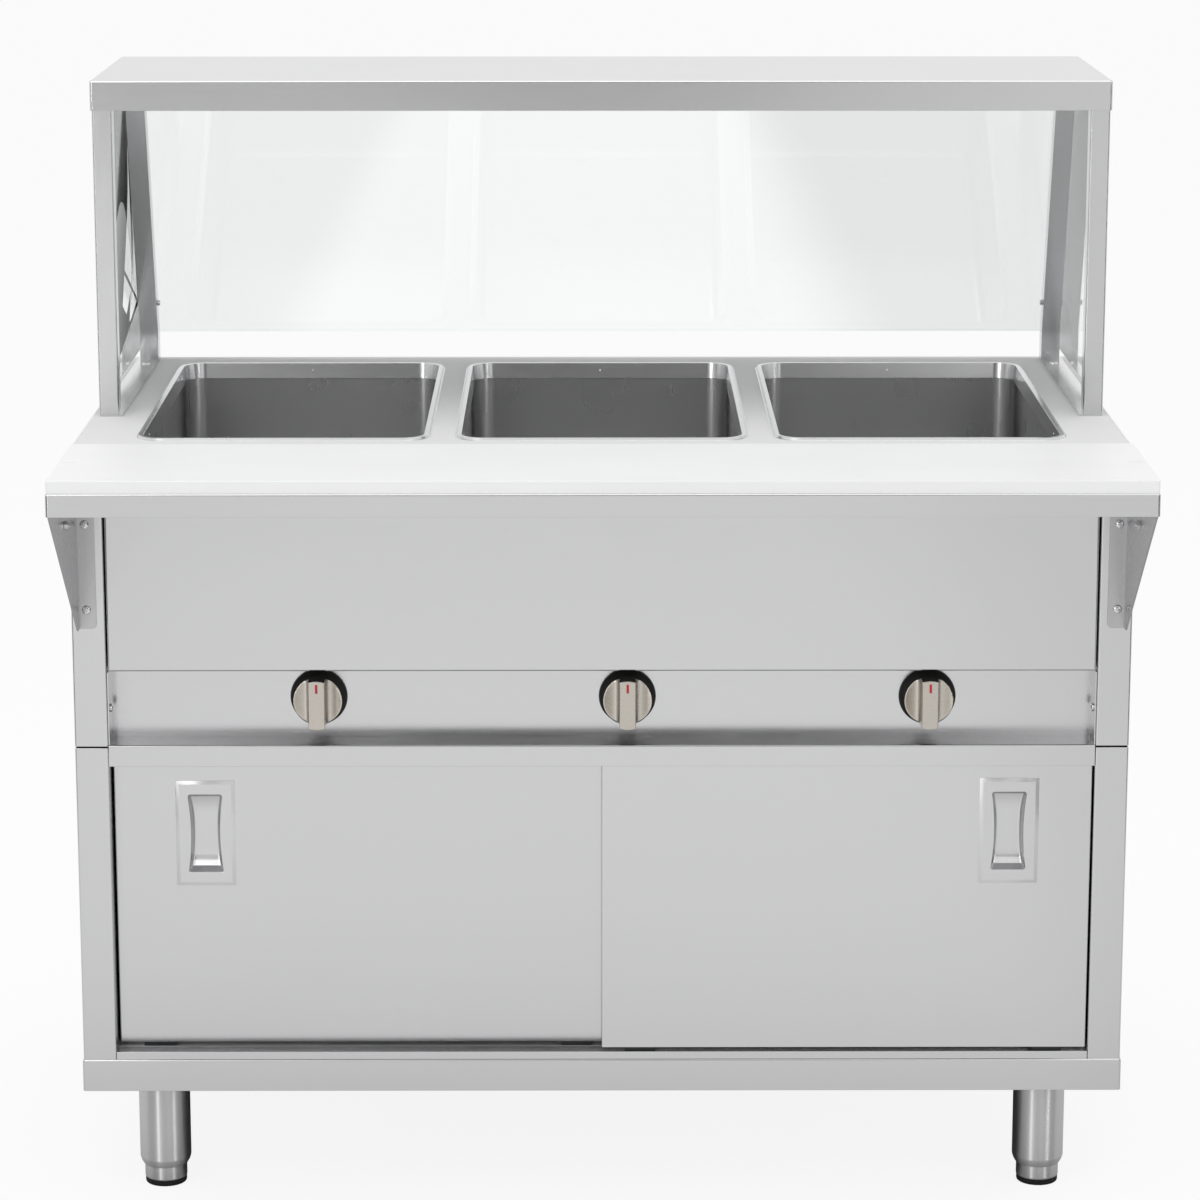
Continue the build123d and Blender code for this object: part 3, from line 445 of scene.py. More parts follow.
def shaded(piece, angle=35.0, name=None, mode="FACE_AREA", weight=50):
    """Smooth shading with sharp edges past an angle, and flats kept flat. Works in every modifier."""
    for face in piece.data.polygons:
        face.use_smooth = True
    piece.data.set_sharp_from_angle(angle=math.radians(angle))
    weigh = piece.modifiers.new("shading", "WEIGHTED_NORMAL")
    weigh.mode, weigh.weight, weigh.keep_sharp = mode, weight, True
    return baked(piece, name or piece.name.split("-")[0])


def softened(source, name, width, segments=2):
    """Rounds the sharp edges and shades the flats flat."""
    if width > 0:
        bevel = source.modifiers.new("edges", "BEVEL")
        bevel.width, bevel.segments = width, segments
        bevel.limit_method, bevel.angle_limit = "ANGLE", math.radians(32)
        bevel.miter_outer = "MITER_ARC"
    return shaded(source, 60, name, "FACE_AREA_WITH_ANGLE", 90)


def outward(piece, *levels):
    """Closes a piece's open ends at these heights and turns all its faces outwards."""
    bm = bmesh.new()
    bm.from_mesh(piece.data)
    bmesh.ops.remove_doubles(bm, verts=bm.verts, dist=1e-7)
    for level in levels:
        rim = [e for e in bm.edges if e.is_boundary and all(abs(v.co.z - level) < 1e-6 for v in e.verts)]
        bmesh.ops.contextual_create(bm, geom=rim)
    bmesh.ops.recalc_face_normals(bm, faces=bm.faces)
    bm.to_mesh(piece.data)
    bm.free()
    return piece


def bridge(bm, rings):
    """Faces from each closed ring of vertices to the next."""
    for first, second in zip(rings, rings[1:]):
        for i in range(len(first)):
            j = (i + 1) % len(first)
            bm.faces.new((first[i], first[j], second[j], second[i]))


def weave(bm, lines):
    """Faces from each open line of vertices to the next."""
    for first, second in zip(lines, lines[1:]):
        for i in range(len(first) - 1):
            bm.faces.new((first[i], second[i], second[i + 1], first[i + 1]))


def lay_grain(piece, along):
    """UV map in metres: U runs with the brushing, V across it, whichever way a face looks."""
    mesh = piece.data
    layer = mesh.uv_layers.get("grain") or mesh.uv_layers.new(name="grain")
    spare = Vector(ALONG_Z if abs(along[2]) < 0.5 else ALONG_X)
    for face in mesh.polygons:
        normal = face.normal
        run = Vector(along)
        if abs(normal.dot(run)) > 0.8:
            run = spare if abs(normal.dot(spare)) < 0.8 else Vector(ALONG_Y)
        run = (run - normal * normal.dot(run)).normalized()
        across = normal.cross(run)
        for loop in face.loop_indices:
            point = mesh.vertices[mesh.loops[loop].vertex_index].co
            layer.data[loop].uv = (point.dot(run) + 3.0, point.dot(across) + 3.0)


def dress(piece, key, body="table", node=None, grain=None):
    """Gives a finished piece its material and grain, puts it on its body and hides the node it stands for."""
    if not piece.data.materials:
        piece.data.materials.append(material(key))
    if grain:
        lay_grain(piece, grain)
    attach(piece, body)
    if node:
        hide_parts(node)
    return piece


def sheet_piece(node, key="stainless", grain=ALONG_X, body="table", width=None, segments=2):
    """A sheet part as the CAD folds it, with rounded cut edges and brushed faces."""
    name = node + "_piece"
    raw = from_bmesh(name + "_raw", merged_copy(node))
    made = softened(raw, name, sizes().edge_round if width is None else width, segments)
    return dress(made, key, body, node, grain)


# ---------------------------------------------------------------- geometry nodes

def geometry_tree(build, **kinds):
    """A tree with a mesh in and out, a material and the inputs of these kinds, built at its first use."""
    name = build.__name__
    if name in bpy.data.node_groups:
        return bpy.data.node_groups[name]
    tree = bpy.data.node_groups.new(name, "GeometryNodeTree")
    tree.is_modifier = True
    for label, kind in {"Geometry": "Geometry", **kinds, "Material": "Material"}.items():
        tree.interface.new_socket(label, in_out="INPUT", socket_type="NodeSocket" + kind)
    tree.interface.new_socket("Geometry", in_out="OUTPUT", socket_type="NodeSocketGeometry")
    given = put(tree, "NodeGroupInput").outputs
    real = output(tree, "GeometryNodeRealizeInstances", Geometry=build(tree, given))
    coated = output(tree, "GeometryNodeSetMaterial", Geometry=real, Material=given["Material"])
    put(tree, "NodeGroupOutput", Geometry=coated)
    return tree


def own_vector(tree, name):
    """A vector kept on each point."""
    return output(tree, "GeometryNodeInputNamedAttribute", {"data_type": "FLOAT_VECTOR"}, Name=name)


def section_round_path(tree, given):
    """Carries a section round a closed path. The section's X runs out from the path, its Z is up."""
    shape = given["Geometry"]
    path = put(tree, "GeometryNodeObjectInfo", Object=given["Path"]).outputs["Geometry"]
    points, stops = [put(tree, "GeometryNodeAttributeDomainSize", {"component": "MESH"},
                         Geometry=item).outputs["Point Count"] for item in (shape, path)]
    around = calc(tree, "ADD", stops, 1.0)
    grid = output(tree, "GeometryNodeMeshGrid", Vertices_X=points, Vertices_Y=around)
    index = output(tree, "GeometryNodeInputIndex")
    station = calc(tree, "FLOOR", calc(tree, "DIVIDE", calc(tree, "ADD", index, 0.25), around), 0.0)
    place = calc(tree, "MODULO", calc(tree, "MODULO", index, around), stops)

    def sample(geometry, value, spot):
        return output(tree, "GeometryNodeSampleIndex", {"data_type": "FLOAT_VECTOR", "domain": "POINT"},
                      Geometry=geometry, Value=value, Index=spot)

    here = output(tree, "GeometryNodeInputPosition")
    section = put(tree, "ShaderNodeSeparateXYZ", i0=sample(shape, here, station)).outputs
    push = vector(tree, "SCALE", i0=sample(path, own_vector(tree, "out"), place), Scale=section[0])[0]
    rise = output(tree, "ShaderNodeCombineXYZ", Z=section[2])
    total = vector(tree, "ADD", i0=sample(path, here, place), i1=push)[0]
    total = vector(tree, "ADD", i0=total, i1=rise)[0]
    moved = output(tree, "GeometryNodeSetPosition", Geometry=grid, Position=total)
    return output(tree, "GeometryNodeMergeByDistance", Geometry=moved, Distance=1e-6)


def piece_on_points(tree, given):
    """Puts a copy of a piece on each point, turned by the point's 'turn' and then twisted at random."""
    piece = put(tree, "GeometryNodeObjectInfo", Object=given["Piece"], As_Instance=True)
    drift = put(tree, "FunctionNodeRandomValue", {"data_type": "FLOAT"}, i2=0.0, i3=1.0,
                Seed=given["Seed"]).outputs[1]
    spin = output(tree, "ShaderNodeCombineXYZ", Z=calc(tree, "MULTIPLY", drift, given["Twist"]))
    base, own = [output(tree, "FunctionNodeEulerToRotation", Euler=euler)
                 for euler in (own_vector(tree, "turn"), spin)]
    both = output(tree, "FunctionNodeRotateRotation", {"rotation_space": "LOCAL"}, Rotation=base,
                  Rotate_By=own)
    return output(tree, "GeometryNodeInstanceOnPoints", Points=given["Geometry"],
                  Instance=piece.outputs["Geometry"], Rotation=both)


def run_tree(source, tree, name, **inputs):
    """Runs a geometry tree on an object and returns the plain result."""
    step = source.modifiers.new("build", "NODES")
    step.node_group = tree
    for item in tree.interface.items_tree:
        if item.item_type == "SOCKET" and item.in_out == "INPUT" and item.name in inputs:
            step[item.identifier] = inputs[item.name]
    return baked(source, name)


def points_object(name, points, attribute=None, vectors=()):
    """An object of loose points, in metres, with one vector kept on each."""
    mesh = bpy.data.meshes.new(name)
    mesh.from_pydata([tuple(p) for p in points], [], [])
    if attribute:
        layer = mesh.attributes.new(attribute, "FLOAT_VECTOR", "POINT")
        for i, value in enumerate(vectors):
            layer.data[i].vector = value
    return to_object(name, mesh)


def rounded_path(width, depth, radius, x, y, z, steps):
    """Corner path of a rounded rectangle: points at the corner centres, 'out' round each corner."""
    points, outs = [], []
    for k, (sx, sy) in enumerate(QUARTERS):
        centre = (x + sx * (width / 2 - radius), y + sy * (depth / 2 - radius), z)
        for i in range(steps + 1):
            angle = math.radians(90 * k + 90 * i / steps)
            points.append(centre)
            outs.append((math.cos(angle), math.sin(angle), 0))
    return points_object("path", points, "out", outs)


def swept(name, section, path, key):
    """Sweeps a section, as (out, up) pairs, round a path."""
    source = points_object(name + "_section", [(u, 0, v) for u, v in section])
    tree = geometry_tree(section_round_path, Path="Object")
    made = run_tree(source, tree, name, Path=path, Material=material(key))
    dropped(path)
    return made


def turned(name, section, key, steps, x=0.0, y=0.0):
    """A closed piece turned from a section round an upright axis."""
    angles = [2 * math.pi * i / steps for i in range(steps)]
    outs = [(math.cos(angle), math.sin(angle), 0) for angle in angles]
    return outward(swept(name, section, points_object("path", [(x, y, 0)] * steps, "out", outs), key))


def placed(name, piece, spots, key, twist=0.0):
    """Copies of a piece on spots, each given as its place and its turn by Euler angles."""
    places, turns = zip(*spots)
    source = points_object(name + "_points", places, "turn", turns)
    tree = geometry_tree(piece_on_points, Piece="Object", Twist="Float", Seed="Int")
    return run_tree(source, tree, name, Piece=piece, Twist=twist, Seed=SEED, Material=material(key))


def joined(name, *objects):
    """Several meshes as one object."""
    bm = bmesh.new()
    materials = []
    for item in objects:
        start = len(bm.faces)
        bm.from_mesh(item.data)
        bm.faces.ensure_lookup_table()
        for slot in item.data.materials:
            if slot not in materials:
                materials.append(slot)
        if item.data.materials:
            spot = {i: materials.index(m) for i, m in enumerate(item.data.materials)}
            for face in bm.faces[start:]:
                face.material_index = spot.get(face.material_index, 0)
    made = from_bmesh(name, bm)
    for slot in materials:
        made.data.materials.append(slot)
    dropped(*objects)
    return made


def arc(cx, cy, radius, start, end, steps=5):
    """Points on an arc of a section, angles in degrees."""
    return [(cx + radius * math.cos(math.radians(start + (end - start) * i / steps)),
             cy + radius * math.sin(math.radians(start + (end - start) * i / steps)))
            for i in range(steps + 1)]


def at(x, z, *steps):
    """Points of a section, given as steps in mm from one place in metres."""
    return [(x + u * MM, z + v * MM) for u, v in steps]


# ---------------------------------------------------------------- pieces

def node_box(name):
    low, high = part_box(name)
    return low, high, (low + high) / 2


def build_deck():
    """Deck: raised rims rolled into collars, a flat between them and a folded skirt."""
    s = sizes()
    low, high, mid = node_box("deck")
    top = high.z - s.rim_height
    # The outer fold: flat, bend, skirt.
    bend, corner = 2.2 * MM, 3.0 * MM
    fold = [(corner - bend, 0.0)] + arc(corner - bend, -bend, bend, 90, 0, 6)[1:] + [(corner, low.z - top)]
    path = rounded_path(high.x - low.x, high.y - low.y, corner, mid.x, mid.y, top, 6)
    bits = [swept("skirt", fold, path, "stainless")]
    # From the collar's lower edge, which leans in a little, over the flat crown and down to the deck.
    r, h, lip = s.rim_width, s.rim_height, 0.4 * MM
    section = at(0, h, (-COLLAR_LEAN, -COLLAR_DROP), (-0.05, -0.55)) + arc(lip, h - lip, lip, 172, 90, 3)
    section += at(r, h, (-1.75, 0), (-1.55, -0.06)) + at(r, 0, (-0.35, 0.3), (0, 0.04), (0.4, 0), (1.0, 0))
    section = [(u + s.well_corner, v) for u, v in section]
    inset = 2 * (s.wall + COLLAR_GAP)
    for name in WELLS:
        first, last, well = node_box("well_liner_" + name)
        path = rounded_path(last.x - first.x - inset, last.y - first.y - inset, s.well_corner, well.x, well.y,
                            top, CORNER_FACETS)
        bits.append(swept("rim", section, path, "stainless"))
    shell = joined("deck_shell", *bits)
    bm = bmesh.new()
    bm.from_mesh(shell.data)
    flat = [e for e in bm.edges if e.is_boundary and all(abs(v.co.z - top) < 1e-5 for v in e.verts)]
    filled = bmesh.ops.triangle_fill(bm, edges=flat, use_beauty=True, use_dissolve=False, normal=ALONG_Z)
    for face in filled["geom"]:
        if isinstance(face, bmesh.types.BMFace) and face.normal.z < 0:
            face.normal_flip()
    bm.to_mesh(shell.data)
    bm.free()
    wall = shell.modifiers.new("sheet", "SOLIDIFY")
    wall.thickness, wall.offset = SHEET, -1.0
    dress(shaded(baked(shell, "deck_sheet")), "stainless", node="deck", grain=ALONG_X)


def rivet_shape():
    """A low domed rivet head."""
    r = sizes().rivet
    dome = ((0, 0.55), (0.35, 0.5), (0.7, 0.34), (0.92, 0.12), (1, -0.1), (0, -0.1))
    return turned("rivet_head", [(u * r, v * r) for u, v in dome], "fastener_steel", 12)


def build_wells():
    """Wells: drawn boxes with rounded corners and floors, each with its rivets."""
    s = sizes()
    drop = node_box("deck")[1].z - s.rivet_drop
    head = rivet_shape()
    corner = s.well_corner + COLLAR_GAP + s.wall
    inner, f, heel = corner - s.wall, s.floor_round, 6 * MM
    for name in WELLS:
        node = "well_liner_" + name
        low, high, mid = node_box(node)
        wide, deep, floor = high.x - low.x, high.y - low.y, low.z + s.wall
        section = [(inner - f - 0.5 * MM, floor)] + arc(inner - f, floor + f, f, -90, 0, 8)
        section += [(inner, high.z), (corner, high.z)] + arc(corner - heel, low.z + heel, heel, 0, -90, 4)
        path = rounded_path(wide, deep, corner, mid.x, mid.y, 0.0, CORNER_FACETS)
        shell = outward(swept(node + "_shell", section, path, "wells"), floor, low.z)
        # Rivet heads just under the rim: one behind, one in front, two each side.
        inner_x, inner_y = [size / 2 - s.wall - RIVET_INSET for size in (wide, deep)]
        spots = [((mid.x, mid.y + side * inner_y, drop), (side * math.pi / 2, 0, 0)) for side in (1, -1)]
        spots += [((mid.x + side * inner_x, mid.y + share * deep, drop), (0, -side * math.pi / 2, 0))
                  for side in (-1, 1) for share in (-0.36, 0.36)]
        rivets = placed("rivets_" + name, head, spots, "fastener_steel", 0.4)
        dress(shaded(rivets), "fastener_steel")
        dress(softened(shell, node + "_piece", 0), "wells", node=node, grain=ALONG_Z)
    dropped(head)


def build_sheets():
    """Folded and flat sheets of the body, shelf, guard and tracks."""
    for node in ("apron_panel", "control_panel", "mid_rail", "base_shelf", "front_shelf", "overshelf",
                 "upper_back", "lower_back", "compartment_floor", "door_track_bottom", "door_track_top"):
        sheet_piece(node)
    for side in SIDES:
        for level in ("upper", "lower"):
            sheet_piece("%s_side_%s" % (level, side), grain=ALONG_Z)
    sheet_piece("shelf_brackets", "brackets", ALONG_Z)
    sheet_piece("foot_strips", "posts", ALONG_Y)


def build_guard():
    """Guard: square tubes brushed along their length, and polished glass."""
    sheet_piece("front_uprights", "posts", ALONG_Z, width=0.2 * MM)
    sheet_piece("rear_uprights", "posts", ALONG_Z, width=0.8 * MM, segments=3)
    sheet_piece("customer_glass", "clear_glass", None, width=0.4 * MM)
    # The side glasses lie on the rear posts. A hair's gap keeps glass and metal from sharing one plane.
    panes = sheet_piece("side_glasses", "clear_glass", None, width=0.4 * MM)
    inner = min(abs(v.co.x) for v in panes.data.vertices)
    for vertex in panes.data.vertices:
        if abs(vertex.co.x) < inner + 0.02 * MM:
            vertex.co.x += math.copysign(GLASS_GAP, vertex.co.x)


def recess_depth(side, top, up):
    """Depth of a pull's recess, in mm, from the distances to its side, its top and its bottom edge."""
    wall, deep = 4.5, 12.4
    lip, slope, bowl, half = 0.7, 5.5, 10.5, 26.0  # where each part of the floor ends, going up
    corner = math.hypot(max(wall - side, 0.0), max(wall - top, 0.0))
    inside = min(max(1.0 - corner / wall, 0.0), 1.0)
    steep = math.sqrt(1.0 - (1.0 - inside) ** 2)
    if up < lip:
        floor = 1.14 * up ** 2
    elif up < slope:
        # The steep lip, which looks dark, and above it an even slope, which looks bright.
        floor = 0.56 + 1.55 * (up - lip)
    elif up < bowl:
        floor = 8.0 + 0.46 * (up - slope)
    elif up < half:
        floor = 10.3 + (deep - 10.3) * (1.0 - (1.0 - (up - bowl) / (half - bowl)) ** 3.4)
    else:
        # Over the upper half the floor comes forward in a long hollow that shades off towards the top.
        floor = deep - 6.0 * max((half - top) / half, 0.0) ** 2.4
    return floor * steep


def pull_shape():
    """A bevelled plate round an hourglass recess whose floor rolls forward. Face up Z, top along Y."""
    wide, tall, reach, mouth, waist = 32.25, 59.0, 44.0, 19.35, 15.85
    bow = (reach ** 2 + (mouth - waist) ** 2) / (2 * (mouth - waist))
    near = [0.0, 0.12, 0.3, 0.55, 0.85, 1.2, 1.7, 2.3, 3.0, 3.7, 4.5, 6.0, 9.0]
    rows = near + [9.0 + 2.9 * i for i in range(1, 17)]
    rows += [2 * reach - d for d in (30, 28.5, 27, 25.5, 24, 22.5, 21, 19.5, 18, 16.7, 15.5, 14.2, 13, 12, 11,
                                     10, 9, 8, 7, 6.2, 5.5, 4.9, 4.4, 3.9, 3.3, 2.7, 2.1, 1.5, 1.0, 0.7, 0.5,
                                     0.3, 0.15, 0)]
    bm = bmesh.new()
    net = []
    for down in rows:
        y = reach - down
        half = waist + bow - math.sqrt(bow ** 2 - y ** 2)
        across = [(d - half, d) for d in near] + [(0.0, half)] + [(half - d, d) for d in reversed(near)]
        line = []
        for x, edge in across:
            z = PLATE_PROUD - recess_depth(edge, down, 2 * reach - down)
            line.append(bm.verts.new((x * MM, y * MM, z * MM)))
        net.append(line)
    weave(bm, net)

    def ring(inset, z, w=wide, t=tall):
        return [bm.verts.new((sx * (w - inset) * MM, sy * (t - inset) * MM, z * MM)) for sx, sy in QUARTERS]

    # The box behind the plate, the plate's edge and its broad bevel.
    rings = [ring(0, -12, 21.5, 46.5), ring(0, 0, 21.5, 46.5), ring(0, 0), ring(0, 0.3), ring(0.15, 0.46),
             ring(3.7, 1.88), ring(4.1, 1.98), ring(4.6, PLATE_PROUD)]
    bm.faces.new(rings[0][::-1])
    bridge(bm, rings)
    border = [e for e in bm.edges if e.is_boundary]
    bmesh.ops.triangle_fill(bm, edges=border, use_beauty=True, use_dissolve=True, normal=ALONG_Z)
    bmesh.ops.recalc_face_normals(bm, faces=bm.faces)
    return from_bmesh("pull_shape", bm)


def build_doors():
    """Doors: folded pans and their bevelled pull plates with a scooped recess."""
    shape = pull_shape()
    for side in SIDES:
        body, node = "door_" + side, "pull_" + side
        sheet_piece(body, body=body)
        low, _, mid = node_box(node)
        place = (mid.x, low.y + PLATE_PROUD * MM, mid.z)
        made = placed(node + "_piece", shape, [(place, FACING_FRONT)], "satin_metal")
        dress(shaded(made, 38), "satin_metal", body, node=node, grain=ALONG_Z)
    dropped(shape)


def build_rollers():
    """Rollers and their frames under the doors."""
    for side in SIDES:
        sheet_piece("roller_frames_" + side, "roller_frame", None, "door_" + side, width=0.2 * MM)
        for end in "ab":
            node = "roller_%s_%s" % (side, end)
            sheet_piece(node, "roller_nylon", None, node, width=0.25 * MM)


def build_board():
    """Cutting board: a planed white slab with eased edges and two slots."""
    sheet_piece("cutting_board", "board_white", None, width=0.35 * MM, segments=3)


def valley(x):
    """Level of a knob's face, in mm, at a distance from its middle line: a scoop each side of the grip."""
    floor, bend, rise, reach = 22.5, 5.5, 5.3, 17.75
    out = abs(x) - sizes().grip_width / MM / 2
    if out < bend:
        return floor + bend - math.sqrt(max(bend ** 2 - (bend - max(out, 0.0)) ** 2, 0.0))
    return floor + rise * ((out - bend) / reach) ** 1.5


def knob_shape():
    """A knob at the origin, its face up Z and its grip along Y: a scooped face, its skirt and the grip."""
    half, edge, reach, soft = sizes().grip_width / MM / 2, 26.6, 27.0, 1.5
    bm = bmesh.new()

    def point(x, y, z):
        return bm.verts.new((x * MM, y * MM, z * MM))

    columns = [0, 4] + [half + d for d in (-0.5, 0.05, 0.2, 0.5, 0.9, 1.4, 2.1, 3.0)]
    columns += [13.0, 14.6, 16.3, 18.0, 19.6, 21.1, 22.4, 23.5, 24.5, 25.3, 25.9, 26.3, 26.5]
    shares = [0, 0.15, 0.3, 0.45, 0.6, 0.72, 0.82, 0.89, 0.93, 0.955, 0.97, 0.981, 0.99, 0.996, 1]
    columns, shares = [[-v for v in reversed(side[1:])] + side for side in (columns, shares)]
    net = []
    for x in columns:
        line = []
        for share in shares:
            y = share * math.sqrt(edge ** 2 - x ** 2)
            near = max(soft - (edge - math.hypot(x, y)), 0.0)
            line.append(point(x, y, valley(x) - (soft - math.sqrt(max(soft ** 2 - near ** 2, 0.0)))))
        net.append(line)
    weave(bm, net)
    border = [line[0] for line in net] + net[-1][1:-1] + [line[-1] for line in reversed(net)]
    border += net[0][-2:0:-1]
    rings = [border]
    for radius, level in ((27.3, 20.0), (28.6, 11.5), (29.9, 3.2), (29.6, 2.6)):
        scale = [radius / math.hypot(v.co.x, v.co.y) for v in border]
        rings.append([point(v.co.x * k, v.co.y * k, level) for v, k in zip(border, scale)])
    bridge(bm, rings)
    bm.faces.new(rings[-1][::-1])

    # The grip: a block with rounded ends and soft front edges.
    def outline(inset, level):
        wide, far = half - inset, reach - inset
        lean = math.asin(wide / far)
        ends = [(far * math.sin(lean * t / 5), far * math.cos(lean * t / 5)) for t in range(-5, 6)]
        return [point(x, y, level) for x, y in ends] + [point(-x, -y, level) for x, y in ends]

    rings = [outline(inset, GRIP_FRONT - back)
             for inset, back in ((0, 28), (0, 16), (0, 1), (0.13, 0.5), (0.5, 0.13), (1, 0))]
    bridge(bm, rings)
    bm.faces.new(rings[-1])
    bm.faces.new(rings[0][::-1])
    bmesh.ops.recalc_face_normals(bm, faces=bm.faces)
    return from_bmesh("knob_shape", bm)


def cap_and_body(piece, centre):
    """The plated face is a cap. The body behind it, seen from the side and at the grip's ends, is coloured
    black as a painted dark reflection of the plated metal.
    """
    piece.data.materials.append(material("knob_black"))
    for face in piece.data.polygons:
        outer = Vector((face.center.x - centre[0], 0, face.center.z - centre[2]))
        side = outer.length > 20 * MM and face.normal.dot(outer.normalized()) > 0.72
        if side or face.normal.y > 0.5:
            face.material_index = 1
    return piece


def mark_shape():
    """The red mark near the top of the grip, a rounded strip barely proud of it."""
    proud, foot, front = 0.16, -0.3, GRIP_FRONT * MM
    path = rounded_path(3.0 * MM, 10.0 * MM, 0.7 * MM, 0, 18.6 * MM, front, 4)
    made = swept("mark_shape", at(0, 0, (0, proud), (0.55, 0.14), (0.7, foot)), path, "mark")
    return outward(made, front + proud * MM, front + foot * MM)


def build_knobs():
    """Knobs with their black rings: satin nickel grips with a red mark."""
    shape, mark = knob_shape(), mark_shape()
    back = node_box("knob_bezels")[1].y
    spots = []
    for name in WELLS:
        body = "knob_" + name
        mid = node_box(body)[2]
        centre = (mid.x, back, mid.z)
        spots.append((centre, FACING_FRONT))
        knob = placed(body + "_piece", shape, spots[-1:], "knob_nickel")
        dress(cap_and_body(shaded(knob, 42), centre), "knob_nickel", body, node=body)
        red = placed("mark_" + name, mark, spots[-1:], "mark")
        dress(shaded(red, 50), "mark", body)
    ring = at(0, 0, (6, 2), (30.1, 2)) + arc(30.1 * MM, 1.1 * MM, 0.9 * MM, 90, 0, 4)[1:]
    ring += at(0, 0, (31, 0), (6, 0), (6, 2))
    bezel = turned("bezel_shape", ring, "dark_plastic", sizes().turns)
    rings = placed("knob_rings", bezel, spots, "dark_plastic")
    dropped(shape, mark, bezel)
    dress(shaded(rings), "dark_plastic", node="knob_bezels")


def build_legs():
    """Legs: turned tubes welded under a plate, with height-adjusting feet and dark tips."""
    s = sizes()
    low, high, _ = node_box("legs")
    end, tops, plate, nut_top = low.z, high.z, high.z - 3 * MM, high.z - 100.5 * MM
    r = s.tube_radius
    inner = r - 1.5 * MM
    tube = [(inner, plate)] + at(r, plate, (3.2, 0), (2.4, -1.2), (0.8, -3.0), (0, -3.6))
    tube += at(r, end, (0, 9.5), (-0.25, 8.0), (-1.4, 4.5), (-3.4, 0.9), (-4.0, 0))
    tube += at(0, end, (24, 0), (24, 8)) + [(inner, end + 8.6 * MM), (inner, plate)]
    edge = at(0, plate, (0, 0), (5.7, 0), (6, 0.3)) + at(0, tops, (6, -0.3), (5.7, 0), (0, 0))
    nut = at(0, nut_top, (6.05, 0)) + at(inner, nut_top, (0, 0), (0, -8))
    nut += at(0, nut_top, (6.05, -8), (6.05, 0))
    bits = []
    for name in CORNERS:
        spot = node_box("foot_" + name)[2]
        path = rounded_path(100 * MM, 100 * MM, 6 * MM, spot.x, spot.y, 0.0, 6)
        bits += [turned("leg_tube", tube, "spun", s.turns, spot.x, spot.y),
                 outward(swept("leg_plate", edge, path, "spun"), plate, tops),
                 turned("leg_nut", nut, "spun", 36, spot.x, spot.y)]
    legs = joined("legs_piece", *bits)
    dress(shaded(legs, 40), "spun", node="legs", grain=ALONG_Z)
    for name in CORNERS:
        body, tip = "foot_" + name, "foot_tip_" + name
        low, high, mid = node_box(body)
        collar = low.z + 40.5 * MM
        sleeve = at(0, high.z, (0, 0), (5.2, 0), (6, -0.9)) + at(0, collar, (6, 0), (22.7, 0), (23.5, -0.8))
        sleeve += at(0, low.z, (23.5, 2.2), (23.2, 1.0), (22.1, 0), (0, 0))
        foot = turned(body + "_piece", sleeve, "spun", s.turns, mid.x, mid.y)
        dress(shaded(foot, 40), "spun", body, body, ALONG_Z)
        sole = at(0, node_box(tip)[1].z, (0, 0), (23, 0))
        sole += at(0, 0, (23, 2.2), (22.6, 1.0), (21.8, 0.3), (20.8, 0), (0, 0))
        rubber = turned(tip + "_piece", sole, "tip_rubber", s.turns, mid.x, mid.y)
        dress(shaded(rubber, 40), "tip_rubber", body, node=tip)


def screw_shape(grip):
    """Pan-head screw at the origin, head up Z, with a cross recess, shank and nut below."""
    r, h, top = sizes().head_radius, 2.6 * MM, -grip
    pan = ((0, 1), (0.42, 0.985), (0.7, 0.9), (0.9, 0.66), (0.985, 0.36), (1, 0.12), (0.97, 0))
    head = [(r * u, h * v) for u, v in pan]
    head += at(0, 0, (2.5, 0)) + at(0, top, (2.5, -5.4), (1.9, -6), (0, -6))
    body = turned("screw_head", head, "fastener_steel", 24)
    tools = []
    wide, slim, deep = 2.9 * MM, 0.75 * MM, 1.7 * MM
    for turn in (0, math.pi / 2):
        bm = bmesh.new()
        rings = [[bm.verts.new((x * a, y * b, z)) for x, y in QUARTERS]
                 for z, a, b in ((h + 1 * MM, wide, slim), (h - deep, wide * 0.25, slim * 0.7))]
        bm.faces.new(rings[0])
        bm.faces.new(rings[1][::-1])
        bridge(bm, rings[::-1])
        bmesh.ops.rotate(bm, verts=bm.verts, cent=(0, 0, 0), matrix=Matrix.Rotation(turn, 3, "Z"))
        bmesh.ops.recalc_face_normals(bm, faces=bm.faces)
        tools.append(from_bmesh("recess", bm))
        cut = body.modifiers.new("recess", "BOOLEAN")
        cut.operation, cut.object, cut.solver = "DIFFERENCE", tools[-1], "EXACT"
    made = baked(body, "screw_body")
    dropped(*tools)
    flat = 4.0 * MM / math.cos(math.pi / 6)
    nut = at(0, top, (2.5, 0)) + at(flat * 0.9, top, (0, 0)) + at(flat, top, (0, -0.35), (0, -3.65))
    nut += at(flat * 0.9, top, (0, -4)) + at(0, top, (2.5, -4), (2.5, 0))
    return joined("screw_shape", made, turned("nut", nut, "fastener_steel", 6))


